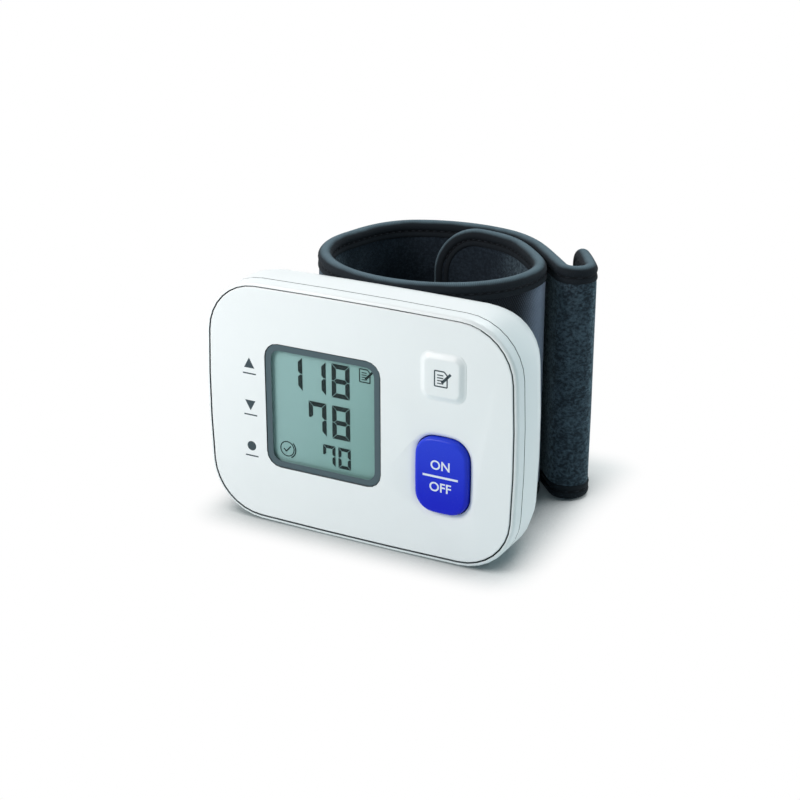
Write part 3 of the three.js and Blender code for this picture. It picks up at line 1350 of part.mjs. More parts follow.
// The binding of a free end: along the bottom, round the end and back along the top.
function endBindingPlaces(stations, end, corner, direction) {
  const inner = corner - BINDING_HEIGHT;
  const centre = end - direction * corner;
  const round = (side) => {
    const places = [];
    for (let step = 0; step <= END_CORNER_STEPS; step += 1) {
      const angle = (Math.PI / 2) * (step / END_CORNER_STEPS);
      const outAlong = direction * Math.sin(angle);
      const outUp = side * Math.cos(angle);
      const middle = side > 0 ? CUFF_HEIGHT - corner : corner;
      places.push({ along: centre + inner * outAlong, height: middle + inner * outUp, outAlong, outUp });
    }
    return places;
  };
  return [
    ...edgePlaces(stations, -1).slice(0, -1),
    ...round(-1),
    ...round(1).reverse(),
    ...edgePlaces(stations, 1).reverse().slice(1),
  ];
}

const ROOT_START = INNER_HINGE + JOINT_GAP / 2;
const ROOT_END = OUTER_HINGE - JOINT_GAP / 2;
const INNER_START = 0;
const INNER_STOP = INNER_HINGE - JOINT_GAP / 2;
const OUTER_START = OUTER_HINGE + JOINT_GAP / 2;

function faceHoles(front, back) {
  return [
    bar(PORT_X, PORT_RISE, PORT_RADIUS + PORT_PLAY, front, back),
    ...RIVET_RISES.map((rise) => bar(PORT_X, rise, RIVET_HEAD_RADIUS + FIT_GAP, front, back)),
  ];
}

function loopCover() {
  const holes = [
    bar(PORT_X, PORT_RISE, PORT_RADIUS + PORT_PLAY, 0, LOOP_DEPTH),
    ...RIVET_RISES.map((rise) => bar(PORT_X, rise, RIVET_RADIUS + SCREW_CLEARANCE, 0, LOOP_DEPTH, SMALL_STEPS)),
  ];
  return cut(sheet(evenStations(ROOT_START, ROOT_END, ROOT_CUFF_STEPS), COVER_BACK, COVER_FACE, SHEET_EDGE), ...holes);
}

function loopLining() {
  return sheet(evenStations(ROOT_START, ROOT_END, ROOT_CUFF_STEPS), LINING_BACK, LINING_FACE, SHEET_EDGE);
}

function curler() {
  const margin = SHEET_EDGE + INNER_SHEET_MARGIN;
  const stations = evenStations(ROOT_START + CURLER_END_MARGIN, ROOT_END - CURLER_END_MARGIN, ROOT_CUFF_STEPS);
  return cut(sheet(stations, CURLER_BACK, CURLER_FACE, margin), ...faceHoles(0, LOOP_DEPTH));
}

function bladder() {
  const margin = SHEET_EDGE + 2 * INNER_SHEET_MARGIN;
  const stations = evenStations(ROOT_START + CURLER_END_MARGIN, ROOT_END - CURLER_END_MARGIN, ROOT_CUFF_STEPS);
  return sheet(stations, BLADDER_BACK, BLADDER_FACE, margin);
}

function innerEndCloth() {
  const end = INNER_START + SHEET_EDGE;
  const corner = INNER_END_CORNER - SHEET_EDGE;
  const stations = [
    ...evenStations(INNER_STOP, end + corner, INNER_CUFF_STEPS),
    ...endStations(end, corner, -1),
  ];
  return sheet(stations, LINING_BACK, COVER_FACE, SHEET_EDGE);
}

function outerEndCloth() {
  const end = ROUTE_LENGTH - SHEET_EDGE;
  const corner = OUTER_END_CORNER - SHEET_EDGE;
  const stations = [
    ...outerStations(OUTER_START, end - corner),
    ...endStations(end, corner, 1),
  ];
  return sheet(stations, STRAP_BACK, COVER_FACE, SHEET_EDGE);
}

function hookPatch() {
  const from = alongAt(HOOK_PATCH_START_ANGLE);
  const to = alongAt(HOOK_PATCH_END_ANGLE);
  return sheet(evenStations(from, to, SMALL_STEPS), HOOK_PATCH_BACK, HOOK_PATCH_FACE, HOOK_PATCH_MARGIN);
}

// Finishes

function finish(color, roughness, metalness = 0) {
  return new THREE.MeshStandardMaterial({ color, roughness, metalness });
}

const whiteShell = () => finish('#f4f8f9', 0.42);
const darkCloth = () => finish('#1c2227', 0.95);
const bindingCloth = () => finish('#2c363a', 0.9);
const steel = () => finish('#b9bdc0', 0.35, 1);
const darkPlastic = () => finish('#23282b', 0.5);
const paleHose = () => finish('#d9d9d2', 0.5);

const monitor = new THREE.Group();
const add = (name, solid, material) => {
  const mesh = new THREE.Mesh(toGeometry(solid), material);
  mesh.name = name;
  monitor.add(mesh);
};

add('front_plate', frontPlate(), whiteShell());
add('front_case', frontCase(), whiteShell());
add('rear_case', rearCase(), whiteShell());
add('battery_cover', batteryCover(), whiteShell());
SCREW_PLACES.forEach(({ name, x, rise }) => {
  add(`case_screw_${name}`, screw(x, rise, HEAD_FRONT, HEAD_FRONT - WELL_FLOOR - SCREW_BITE), steel());
});

add('window_lens', prism(windowOutline(WINDOW_GAP), LENS_SET_BACK, LENS_SET_BACK + LENS_THICKNESS),
  finish('#cfe0e0', 0.08));
add('window_frame', windowFrame(), finish('#4a5a60', 0.5));
add('display_glass', prism(windowOutline(GLASS_INSET, GLASS_CORNER), GLASS_FRONT, GLASS_BACK),
  finish('#8fb0ae', 0.2));
add('display_holder', displayHolder(), darkPlastic());
add('connector_strip_top', connectorStrip(1, 0), finish('#e6b8c0', 0.7));
add('connector_strip_bottom', connectorStrip(-1, 0), finish('#e6b8c0', 0.7));

add('start_stop_button', buttonCap(startOutline, START_X, -START_DROP, START_PROUD, START_CROWN),
  finish('#1f2dc5', 0.35));
add('memory_button', buttonCap(memoryOutline, MEMORY_X, MEMORY_RISE, MEMORY_PROUD, MEMORY_CROWN), whiteShell());
add('start_switch_plunger', switchPlunger(START_X, -START_DROP), finish('#e8e4d8', 0.5));
add('memory_switch_plunger', switchPlunger(MEMORY_X, MEMORY_RISE), finish('#e8e4d8', 0.5));
add('start_switch', switchBody(START_X, -START_DROP), darkPlastic());
add('memory_switch', switchBody(MEMORY_X, MEMORY_RISE), darkPlastic());

add('main_board', mainBoard(), finish('#1f6b45', 0.5));
BOARD_SCREW_PLACES.forEach(({ name, x, rise }) => {
  const head = BOARD_BACK + FIT_GAP;
  add(`board_screw_${name}`, screw(x, rise, head, head - BOARD_THICKNESS - SCREW_BITE), steel());
});
add('controller_chip', block(
  CHIP_X - CHIP_HALF, CHIP_X + CHIP_HALF, BOARD_BACK + FIT_GAP, BOARD_BACK + FIT_GAP + CHIP_THICKNESS,
  CHIP_RISE - CHIP_HALF, CHIP_RISE + CHIP_HALF,
), finish('#15171a', 0.5));
add('pressure_sensor', pressureSensor(), finish('#e9e9e4', 0.5));

add('battery_front', cell(FRONT_CELL_X, FRONT_CELL_DEPTH, 1), finish('#b98a3a', 0.35, 0.6));
add('battery_rear', cell(REAR_CELL_X, REAR_CELL_DEPTH, -1), finish('#b98a3a', 0.35, 0.6));
add('battery_link_contact', linkContact(), steel());
add('battery_minus_contact', minusContact(), steel());
add('battery_plus_contact', plusContact(), steel());

add('motor_end_bell', motorBell(), darkPlastic());
add('motor_can', motorCan(), steel());
add('motor_shaft', motorShaft(), steel());
add('eccentric', eccentric(), finish('#e8e4d8', 0.5));
add('pump_housing', pumpHousing(), finish('#30363a', 0.5));
add('diaphragm_block', diaphragmBlock(), finish('#7d2b22', 0.8));
add('pump_cover', pumpCover(), finish('#30363a', 0.5));

add('valve_frame', valveFrame(), steel());
add('valve_coil', valveCoil(), finish('#a5562a', 0.5, 0.4));
add('valve_plunger', valvePlunger(), steel());
add('valve_spring', valveSpring(), steel());
add('air_manifold', airManifold(), finish('#e9e9e4', 0.5));
add('air_port', airPort(), finish('#3a4043', 0.6));
add('port_seal', portSeal(), finish('#202427', 0.9));
add('pump_hose', pumpHose(), paleHose());
add('sensor_hose', sensorHose(), paleHose());
add('valve_hose', valveHose(), paleHose());

add('cuff_rivet_top', rivet(RIVET_RISES[0]), finish('#e9e9e4', 0.5));
add('cuff_rivet_bottom', rivet(RIVET_RISES[1]), finish('#e9e9e4', 0.5));
add('cuff_curler', curler(), finish('#d7dbd8', 0.5));
add('cuff_bladder', bladder(), finish('#3b4a55', 0.6));
add('cuff_cover', loopCover(), darkCloth());
add('cuff_lining', loopLining(), darkCloth());
add('cuff_inner_end', innerEndCloth(), darkCloth());
add('cuff_outer_end', outerEndCloth(), darkCloth());
add('cuff_hook_patch', hookPatch(), darkCloth());
const rootStations = evenStations(ROOT_START, ROOT_END, ROOT_CUFF_STEPS);
const innerStations = evenStations(INNER_STOP, INNER_START + INNER_END_CORNER, INNER_CUFF_STEPS);
const gripStations = outerStations(OUTER_START, ROUTE_LENGTH - OUTER_END_CORNER);
add('binding_loop_top', binding(edgePlaces(rootStations, 1)), bindingCloth());
add('binding_loop_bottom', binding(edgePlaces(rootStations, -1)), bindingCloth());
add('binding_inner_end', binding(
  endBindingPlaces(innerStations, INNER_START, INNER_END_CORNER, -1),
), bindingCloth());
add('binding_outer_end', binding(
  endBindingPlaces(gripStations, ROUTE_LENGTH, OUTER_END_CORNER, 1),
), bindingCloth());

// The model's own origin is the middle of the ground it covers.
const bounds = new THREE.Box3().setFromObject(monitor);
const middle = bounds.getCenter(new THREE.Vector3());
monitor.position.set(-middle.x, -middle.y, -bounds.min.z);

export default monitor;
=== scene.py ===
# A wrist blood pressure monitor: a white moulded case that stands on its long edge, a display, two push
# buttons and a dark cloth cuff on its back, closed into a loop that ends in a curled grip.
# Metres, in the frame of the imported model: +X right, +Y away from the viewer, +Z up, with the floor at z = 0.

import json

import bmesh
import bpy
import numpy as np
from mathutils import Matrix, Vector


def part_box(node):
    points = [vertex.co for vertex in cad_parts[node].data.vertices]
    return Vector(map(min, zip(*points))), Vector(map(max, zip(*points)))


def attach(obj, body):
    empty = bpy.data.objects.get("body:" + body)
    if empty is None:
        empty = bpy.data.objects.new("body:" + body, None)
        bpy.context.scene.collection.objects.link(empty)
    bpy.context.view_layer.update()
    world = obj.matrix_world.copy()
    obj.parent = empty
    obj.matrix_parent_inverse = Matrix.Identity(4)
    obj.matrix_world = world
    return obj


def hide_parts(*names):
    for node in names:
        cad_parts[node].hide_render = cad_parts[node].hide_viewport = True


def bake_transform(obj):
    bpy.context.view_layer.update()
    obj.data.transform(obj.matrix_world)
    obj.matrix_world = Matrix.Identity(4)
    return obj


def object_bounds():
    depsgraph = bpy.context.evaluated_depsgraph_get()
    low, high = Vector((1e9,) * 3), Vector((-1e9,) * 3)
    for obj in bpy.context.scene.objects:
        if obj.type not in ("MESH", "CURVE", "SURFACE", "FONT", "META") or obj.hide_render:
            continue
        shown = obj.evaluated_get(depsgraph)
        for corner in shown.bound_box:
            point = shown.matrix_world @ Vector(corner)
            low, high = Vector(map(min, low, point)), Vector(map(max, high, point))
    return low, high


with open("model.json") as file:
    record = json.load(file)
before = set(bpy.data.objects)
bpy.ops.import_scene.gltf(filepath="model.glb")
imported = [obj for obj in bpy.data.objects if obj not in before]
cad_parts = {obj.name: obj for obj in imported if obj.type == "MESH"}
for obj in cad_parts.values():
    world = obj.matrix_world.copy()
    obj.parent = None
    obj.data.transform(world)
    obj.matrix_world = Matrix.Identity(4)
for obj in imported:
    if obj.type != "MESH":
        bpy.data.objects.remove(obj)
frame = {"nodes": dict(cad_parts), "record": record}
packed_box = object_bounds()
mm = 0.001
degree = np.pi / 180


# Camera
# It looks down on the monitor from the front right, with a long lens, and sees the face half turned away.

face_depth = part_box("front_plate")[0].y
face_height = (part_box("front_case")[0].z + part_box("front_case")[1].z) / 2
camera_place = Vector((193.7 * mm, face_depth - 342.5 * mm, face_height + 165.35 * mm))
camera_aim = Vector((-0.4341, 0.8191, -0.3749))
camera_data = bpy.data.cameras.new("camera")
camera_data.sensor_width = 36
camera_data.lens = 79.05
camera = bpy.data.objects.new("camera", camera_data)
camera.location = camera_place
camera.rotation_euler = camera_aim.to_track_quat("-Z", "Y").to_euler()
bpy.context.collection.objects.link(camera)
bpy.context.scene.camera = camera
bpy.context.scene.view_settings.view_transform = "Standard"


# Floor, lamps and sky
# A plain pale floor that fades into white, under soft studio light from the front left and from above.


def colour(red, green, blue):
    """A screen colour, 0 to 255, as the linear colour that a shader takes."""
    share = np.array([red, green, blue]) / 255
    linear = np.where(share <= 0.04045, share / 12.92, ((share + 0.055) / 1.055) ** 2.4)
    return (*linear.tolist(), 1.0)


class Wire:
    """A socket that takes plain arithmetic. Each operator adds one Math node."""

    def __init__(self, finish, socket):
        self.finish, self.socket = finish, socket

    def math(self, operation, *values):
        return self.finish.node("ShaderNodeMath", {"operation": operation}, values)

    def __add__(self, other):
        return self.math("ADD", self, other)

    def __sub__(self, other):
        return self.math("SUBTRACT", self, other)

    def __rsub__(self, other):
        return self.math("SUBTRACT", other, self)

    def __mul__(self, other):
        return self.math("MULTIPLY", self, other)

    def __truediv__(self, other):
        return self.math("DIVIDE", self, other)

    def __pow__(self, other):
        return self.math("POWER", self, other)

    __radd__ = __add__
    __rmul__ = __mul__


class Finish:
    """A material or sky being mixed. node() adds any node, with its settings first and then its sockets."""

    def __init__(self, owner):
        self.owner = owner
        self.owner.use_nodes = True
        self.tree = self.owner.node_tree
        self.tree.nodes.clear()

    def node(self, kind, settings=None, inputs=(), output=0):
        made = self.tree.nodes.new(kind)
        for key, value in (settings or {}).items():
            setattr(made, key, value)
        for key, value in inputs.items() if isinstance(inputs, dict) else enumerate(inputs):
            if isinstance(value, Wire):
                self.tree.links.new(value.socket, made.inputs[key])
            else:
                made.inputs[key].default_value = value
        return Wire(self, made.outputs[output])

    def place(self):
        return self.node("ShaderNodeTexCoord", output="Object")

    def vector(self, operation, *values, output="Vector"):
        return self.node("ShaderNodeVectorMath", {"operation": operation}, values, output)

    def noise(self, vector, size, detail=2.0, roughness=0.5):
        """Cloudy noise whose clouds are about `size` metres across, from 0 to 1."""
        inputs = {"Vector": vector, "Scale": 1 / size, "Detail": detail, "Roughness": roughness}
        return self.node("ShaderNodeTexNoise", {}, inputs)

    def ramp(self, value, low, high):
        """0 where value is under low, 1 where it is over high, and smooth between."""
        inputs = {"Value": value, "From Min": low, "From Max": high}
        return self.node("ShaderNodeMapRange", {"interpolation_type": "SMOOTHSTEP"}, inputs)

    def mixed(self, share, first, second):
        return self.node("ShaderNodeMix", {"data_type": "RGBA"}, {0: share, 6: first, 7: second}, output=2)

    def painted_sheen_share(self):
        """0 where the surface is seen straight on, 1 along its outline, where a cloth gets its painted sheen.
        """
        return self.ramp(self.node("ShaderNodeLayerWeight", output="Facing"), 0.25, 0.75)

    def bump(self, height, depth):
        return self.node("ShaderNodeBump", {}, {"Height": height, "Distance": depth})

    def surface(self, **sockets):
        """The plastic, metal or cloth shader, and the material made of it."""
        inputs = {name.replace("_", " "): value for name, value in sockets.items()}
        self.close(self.node("ShaderNodeBsdfPrincipled", {}, inputs))
        return self.owner

    def close(self, shader, kind="ShaderNodeOutputMaterial"):
        made = self.tree.nodes.new(kind)
        self.tree.links.new(shader.socket, made.inputs["Surface"])


def new_finish(name):
    return Finish(bpy.data.materials.new(name))


def seen_directly(finish):
    """1 for what the camera sees itself, in a mirror or through glass, and 0 for the light on things."""
    path = finish.tree.nodes.new("ShaderNodeLightPath")
    rays = [
        Wire(finish, path.outputs[name]) for name in ("Is Camera Ray", "Is Glossy Ray", "Is Transmission Ray")
    ]
    return rays[0].math("MAXIMUM", rays[0].math("MAXIMUM", rays[0], rays[1]), rays[2])


footprint_middle = (packed_box[0] + packed_box[1]) / 2
footprint_half = (packed_box[1] - packed_box[0]) / 2
footing = Vector((7 * mm, 3 * mm, 0))
bright_share = 0.66
shadow_reach = 14 * mm
crevice_reach = 22 * mm
crevice_dark, crevice_span, crevice_curve = 0.42, 0.56, 0.55


def floor_finish():
    """Pale matt paper, overexposed as in a studio: what the object doesn't shade is plain white.

    The white takes the soft shade of the crevice along the object's foot, and it rises smoothly to all of
    the floor over the distance from the box that the object stands in.
    """
    finish = new_finish("pale_floor")
    middle = (*footprint_middle[:2], 0)
    half = (*(footprint_half - footing)[:2], 1)
    away = finish.vector("ABSOLUTE", finish.vector("SUBTRACT", finish.place(), middle))
    beyond = finish.vector("MAXIMUM", finish.vector("SUBTRACT", away, half), (0, 0, 0))
    distance = finish.vector("LENGTH", beyond, output="Value")
    paper = finish.node("ShaderNodeBsdfDiffuse", {}, {"Color": colour(240, 249, 250)})
    opening = finish.node(
        "ShaderNodeAmbientOcclusion", {"samples": 8}, {"Distance": crevice_reach}, output="AO"
    )
    open_share = (opening - crevice_dark) / crevice_span
    shade = open_share.math("MAXIMUM", open_share, 0) ** crevice_curve
    near = finish.mixed(shade.math("MINIMUM", shade, 1), colour(40, 46, 50), (1, 1, 1, 1))
    rise = finish.ramp(distance, 0, shadow_reach)
    white = finish.node(
        "ShaderNodeEmission", {}, {"Color": finish.mixed(rise, near, (1, 1, 1, 1)), "Strength": 1.0}
    )
    fade = (rise * (1 - bright_share) + bright_share) * seen_directly(finish)
    finish.close(finish.node("ShaderNodeMixShader", {}, [fade, paper, white]))
    return finish.owner


floor_mesh = bpy.data.meshes.new("floor")
floor_half = 2.0
floor_corners = [(x * floor_half, y * floor_half, 0) for x, y in ((-1, -1), (1, -1), (1, 1), (-1, 1))]
floor_mesh.from_pydata(floor_corners, [], [(0, 1, 2, 3)])
floor_mesh.materials.append(floor_finish())
floor = bpy.data.objects.new("floor", floor_mesh)
bpy.context.collection.objects.link(floor)

sky = bpy.data.worlds.new("sky")
bpy.context.scene.world = sky
sky_finish = Finish(sky)
sky_light = sky_finish.node("ShaderNodeBackground", {}, {"Color": colour(214, 247, 249), "Strength": 0.24})
sky_white = sky_finish.node("ShaderNodeBackground", {}, {"Color": (1, 1, 1, 1), "Strength": 1.0})
sky_finish.close(
    sky_finish.node("ShaderNodeMixShader", {}, [seen_directly(sky_finish), sky_light, sky_white]),
    "ShaderNodeOutputWorld",
)

LAMPS = {
    "front_left_lamp": {
        "place": (-0.19, -0.245, 0.235), "size": 0.18, "power": 0.94, "tint": (255, 248, 246)
    },
    "top_lamp": {"place": (0.05, 0.35, 0.55), "size": 0.25, "power": 1.8, "tint": (255, 254, 252)},
    "right_lamp": {"place": (0.42, 0.25, 0.36), "size": 0.2, "power": 0.66, "tint": (222, 246, 255)},
}
lamp_target = Vector((0, 0, 32 * mm))
for lamp_name, lamp in LAMPS.items():
    lamp_data = bpy.data.lights.new(lamp_name, "AREA")
    lamp_data.size = lamp["size"]
    lamp_data.energy = lamp["power"]
    lamp_data.color = colour(*lamp["tint"])[:3]
    lamp_object = bpy.data.objects.new(lamp_name, lamp_data)
    lamp_object.location = Vector(lamp["place"])
    lamp_object.rotation_euler = (lamp_target - lamp_object.location).to_track_quat("-Z", "Y").to_euler()
    bpy.context.collection.objects.link(lamp_object)


# Case: front plate, front rim, rear shell, battery cover
# Injection moulded white plastic with a fine satin texture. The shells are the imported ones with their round
# stretches shaded smooth, so the joints between them stay the real gaps.


def plastic_finish(name, base, roughness=0.42, grain=0.25 * mm, relief=0.012 * mm, drift=0.03):
    """Moulded plastic: a fine eroded grain, and a slow drift of tone and gloss."""
    finish = new_finish(name)
    place = finish.place()
    slow = finish.noise(place, 14 * mm, detail=3.0)
    fine = finish.noise(place, grain, detail=3.0, roughness=0.6)
    darker = tuple(channel * (1 - 2 * drift) for channel in base[:3]) + (1.0,)
    tone = finish.mixed(slow, darker, base)
    gloss = roughness + (slow - 0.5) * 0.1 + (fine - 0.5) * 0.08
    return finish.surface(Base_Color=tone, Roughness=gloss, Normal=finish.bump(fine, relief))


parting_depth = 3.7 * mm
parting_half = 0.15 * mm


def case_finish():
    """White plastic, with painted shade in the groove between the front rim and the rear shell."""
    finish = new_finish("case_white")
    place = finish.place()
    depth = finish.node("ShaderNodeSeparateXYZ", {}, [place], output="Y") - face_depth
    from_parting = (depth - parting_depth).math("ABSOLUTE", depth - parting_depth)
    # Painted shade: the white turns grey inside the parting groove.
    groove = 1 - finish.ramp(from_parting, parting_half, parting_half + 0.05 * mm)
    slow = finish.noise(place, 14 * mm, detail=3.0)
    fine = finish.noise(place, 0.25 * mm, detail=3.0, roughness=0.6)
    white = finish.mixed(slow, colour(238, 241, 243), colour(242, 245, 247))
    return finish.surface(
        Base_Color=finish.mixed(groove * 0.95, white, colour(70, 78, 82)),
        Roughness=0.36 + (slow - 0.5) * 0.06 + (fine - 0.5) * 0.08, Normal=finish.bump(fine, 0.012 * mm),
    )


case_white = case_finish()
# The faces in the seams round the plate and its openings take seam_shade, a darker grey copy of the white:
# painted shade.
seam_top, seam_floor, seam_bottom = 0.3 * mm, 1.5 * mm, 3.0 * mm
seam_shade = plastic_finish("seam_shade", colour(96, 104, 108), roughness=0.7)


def put_in_scene(name, mesh, finish):
    mesh.materials.clear()
    mesh.materials.append(finish)
    piece = bpy.data.objects.new(name, mesh)
    bpy.context.collection.objects.link(piece)
    return piece


def body_with(node):
    return next(body for body, nodes in frame["record"]["behaviour"]["bodies"].items() if node in nodes)


def faces_a_seam(face):
    """True for the walls and floors of the narrow seams round the front plate and its openings, which get
    painted shade.
    """
    centre, facing = face.calc_center_median(), face.normal
    depth = centre.y - face_depth
    if facing.y < -0.5:
        return depth > seam_floor
    return abs(facing.y) < 0.5 and seam_top < depth < seam_bottom


def faces_the_plate_seam(face):
    """The same for the plate, whose painted shade reaches further up the faces and rounds of its edges that
    face right.
    """
    centre, facing = face.calc_center_median(), face.normal
    right = facing.x > 0.3 and abs(facing.y) < 0.8 and centre.y - face_depth < seam_bottom
    return right or faces_a_seam(face)


def faces_the_rim_seam(face):
    """The same for the front rim, whose outer side gets no painted shade: only what faces the middle is in the
    seam.
    """
    centre, facing = face.calc_center_median(), face.normal
    inwards = (centre.x * facing.x + (centre.z - face_height) * facing.z) < 0
    return faces_a_seam(face) and (inwards or facing.y < -0.5)


def smooth_copy(node, name, finish, sharp=32 * degree, shaded=None):
    """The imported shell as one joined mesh: edges over `sharp` stay crisp, the flats keep their own light."""
    mesh = frame["nodes"][node].data.copy()
    mesh.name = name
    piece = put_in_scene(name, mesh, finish)
    # Faces that `shaded` picks take seam_shade: painted shade in the seams.
    if shaded:
        mesh.materials.append(seam_shade)
    shell = bmesh.new()
    shell.from_mesh(mesh)
    bmesh.ops.remove_doubles(shell, verts=shell.verts, dist=0.002 * mm)
    for face in shell.faces:
        face.smooth = True
        face.material_index = int(bool(shaded and shaded(face)))
    for edge in shell.edges:
        edge.smooth = edge.calc_face_angle(np.pi) < sharp
    shell.to_mesh(mesh)
    shell.free()
    flats = piece.modifiers.new("flats", "WEIGHTED_NORMAL")
    flats.keep_sharp = True
    flats.weight = 80
    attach(piece, body_with(node))
    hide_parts(node)
    return piece



# The dish round the start button is sunk a little, by the points along its inner edge.
dish_edge, dish_deeper = 0.4 * mm, 0.3 * mm
plate = smooth_copy("front_plate", "white_front_plate", case_white, shaded=faces_the_plate_seam)
for point in plate.data.vertices:
    if abs(point.co.y - face_depth - dish_edge) < 0.02 * mm:
        point.co.y += dish_deeper
smooth_copy("front_case", "white_front_rim", case_white, shaded=faces_the_rim_seam)
smooth_copy("rear_case", "white_rear_shell", case_white)
smooth_copy("battery_cover", "white_battery_cover", case_white)


# Start and stop button
# A domed blue cap in a dished ring, sprung by the switch under it. The two words and the rule between them
# are white print.


print_thickness = 0.02 * mm


def extruded(name, outlines, front, back):
    """Closed flat prisms: each outline of (across, up) points, from the depth `front` to the depth `back`."""
    points, faces = [], []
    for outline in outlines:
        flat = np.asarray(outline, float)
        count = len(flat)
        start = len(points)
        turn = np.sum(flat[:, 0] * np.roll(flat[:, 1], -1) - np.roll(flat[:, 0], -1) * flat[:, 1])
        flat = flat if turn > 0 else flat[::-1]
        for depth in (front, back):
            points += [(across, face_depth + depth, face_height + up) for across, up in flat]
        ring = np.arange(count)
        following = np.roll(ring, -1)
        faces.append((start + ring).tolist())
        faces.append((start + count + ring[::-1]).tolist())
        faces += [
            (start + b, start + a, start + count + a, start + count + b)
            for a, b in zip(ring.tolist(), following.tolist())
        ]
    mesh = bpy.data.meshes.new(name)
    mesh.from_pydata(points, [], faces)
    mesh.update()
    return mesh


def stroke(x0, y0, x1, y1, width):
    """A straight line of that width, as the outline of a long box."""
    along = np.array([x1 - x0, y1 - y0])
    across = np.array([-along[1], along[0]]) / np.hypot(*along) * width / 2
    ends = np.array([[x0, y0], [x1, y1]])
    return [ends[0] - across, ends[1] - across, ends[1] + across, ends[0] + across]


def round_outline(x, y, radius, steps=40):
    angles = 2 * np.pi * np.arange(steps) / steps
    return np.column_stack([x + radius * np.cos(angles), y + radius * np.sin(angles)])


def word_mesh(name, text, height, centre, depth):
    """A printed word in the plain built-in letters, centred on (across, up), as a mesh on the face."""
    lettering = bpy.data.curves.new(name, "FONT")
    lettering.body = text
    lettering.align_x = "CENTER"
    lettering.align_y = "CENTER"
    lettering.size = height / 0.7
    lettering.offset = height * 0.022
    lettering.extrude = print_thickness / 2
    lettering.resolution_u = 5
    holder = bpy.data.objects.new(name, lettering)
    bpy.context.collection.objects.link(holder)
    bpy.context.view_layer.update()
    mesh = bpy.data.meshes.new_from_object(holder.evaluated_get(bpy.context.evaluated_depsgraph_get()))
    bpy.data.objects.remove(holder)
    count = len(mesh.vertices)
    flat = np.empty(count * 3, np.float32)
    mesh.vertices.foreach_get("co", flat)
    flat = flat.reshape(-1, 3)
    placed = np.column_stack([
        centre[0] + flat[:, 0],
        np.full(count, face_depth + depth) - flat[:, 2],
        face_height + centre[1] + flat[:, 1],
    ])
    mesh.vertices.foreach_set("co", placed.astype(np.float32).ravel())
    mesh.update()
    return mesh


# Heights between which the painted light on the cap grows paler.
painted_top_light_span = (-19 * mm, 3 * mm)


def blue_cap_finish():
    """Glossy blue plastic, with painted light: a little paler towards the top of the cap."""
    finish = new_finish("button_blue")
    place = finish.place()
    slow = finish.noise(place, 9 * mm)
    fine = finish.noise(place, 0.3 * mm, detail=3.0)
    height = finish.node("ShaderNodeSeparateXYZ", {}, [place], output="Z")
    # Painted light: the blue grows paler towards the top of the cap.
    painted_top_light = finish.ramp(height, face_height + painted_top_light_span[0], face_height + painted_top_light_span[1])
    tone = finish.mixed(painted_top_light * 0.85 + (slow - 0.5) * 0.1, colour(13, 30, 202), colour(43, 70, 220))
    return finish.surface(
        Base_Color=tone, Roughness=0.26 + (fine - 0.5) * 0.08, Normal=finish.bump(fine, 0.006 * mm),
        Specular_IOR_Level=0.16,
    )


def print_finish(name, ink):
    """Screen printed ink: matt, with a slightly uneven edge to edge cover."""
    finish = new_finish(name)
    cover = finish.noise(finish.place(), 0.35 * mm, detail=3.0)
    thin = tuple(channel * 0.85 + 0.004 for channel in ink[:3]) + (1.0,)
    return finish.surface(
        Base_Color=finish.mixed(cover, thin, ink), Roughness=0.6 + (cover - 0.5) * 0.1, Specular_IOR_Level=0.2
    )


start_place = (23.5 * mm, -8.9 * mm)
start_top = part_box("start_stop_button")[0].y - face_depth - print_thickness / 2
smooth_copy("start_stop_button", "blue_start_cap", blue_cap_finish(), sharp=40 * degree)
white_ink = print_finish("white_ink", colour(236, 242, 255))
word_height = 2.35 * mm
word_rise = 2.85 * mm
rule_half = 4.7 * mm
rule_width = 0.55 * mm
for word, side in (("ON", 1), ("OFF", -1)):
    centre = (start_place[0], start_place[1] + side * word_rise)
    print_piece = put_in_scene(
        f"printed_{word.lower()}",
        word_mesh(f"printed_{word.lower()}", word, word_height, centre, start_top),
        white_ink,
    )
    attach(print_piece, "start_button")
rule = stroke(
    start_place[0] - rule_half, start_place[1], start_place[0] + rule_half, start_place[1], rule_width
)
rule_piece = put_in_scene(
    "printed_rule",
    extruded("printed_rule", [rule], start_top - print_thickness / 2, start_top + print_thickness / 2),
    white_ink,
)
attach(rule_piece, "start_button")


# Memory button
# A soft white pad moulded over the plate: its rim lies on the plate and its top stands raised.
# A small printed sheet with a pen shows what it is for.


memory_place = (23.6 * mm, 16.4 * mm)
pad_half = (6.05 * mm, 6.15 * mm)
pad_corner = 2.9 * mm
pad_slope = 1.8 * mm
pad_flat = 4.3 * mm
pad_proud = 0.85 * mm
pad_rim = 0.04 * mm
pad_hollow = 0.06 * mm
pad_wall = 0.3 * mm


def rounded_square(half_width, half_height, corner, steps=9):
    """Points round a rectangle with round corners, anticlockwise from the right, `steps` in each corner."""
    angles = np.concatenate([np.linspace(0, np.pi / 2, steps) + quarter * np.pi / 2 for quarter in range(4)])
    side_x = np.repeat([1, -1, -1, 1], steps)
    side_y = np.repeat([1, 1, -1, -1], steps)
    return np.column_stack([
        side_x * (half_width - corner) + corner * np.cos(angles),
        side_y * (half_height - corner) + corner * np.sin(angles),
    ])


def ring_faces(rows, columns):
    """Quads between closed rings of points, as an array of corner numbers."""
    row = np.arange(rows - 1)[:, None] * columns
    here = np.arange(columns)[None, :]
    following = (here + 1) % columns
    quads = np.stack([row + here, row + following, row + columns + following, row + columns + here], -1)
    return quads.reshape(-1, 4)


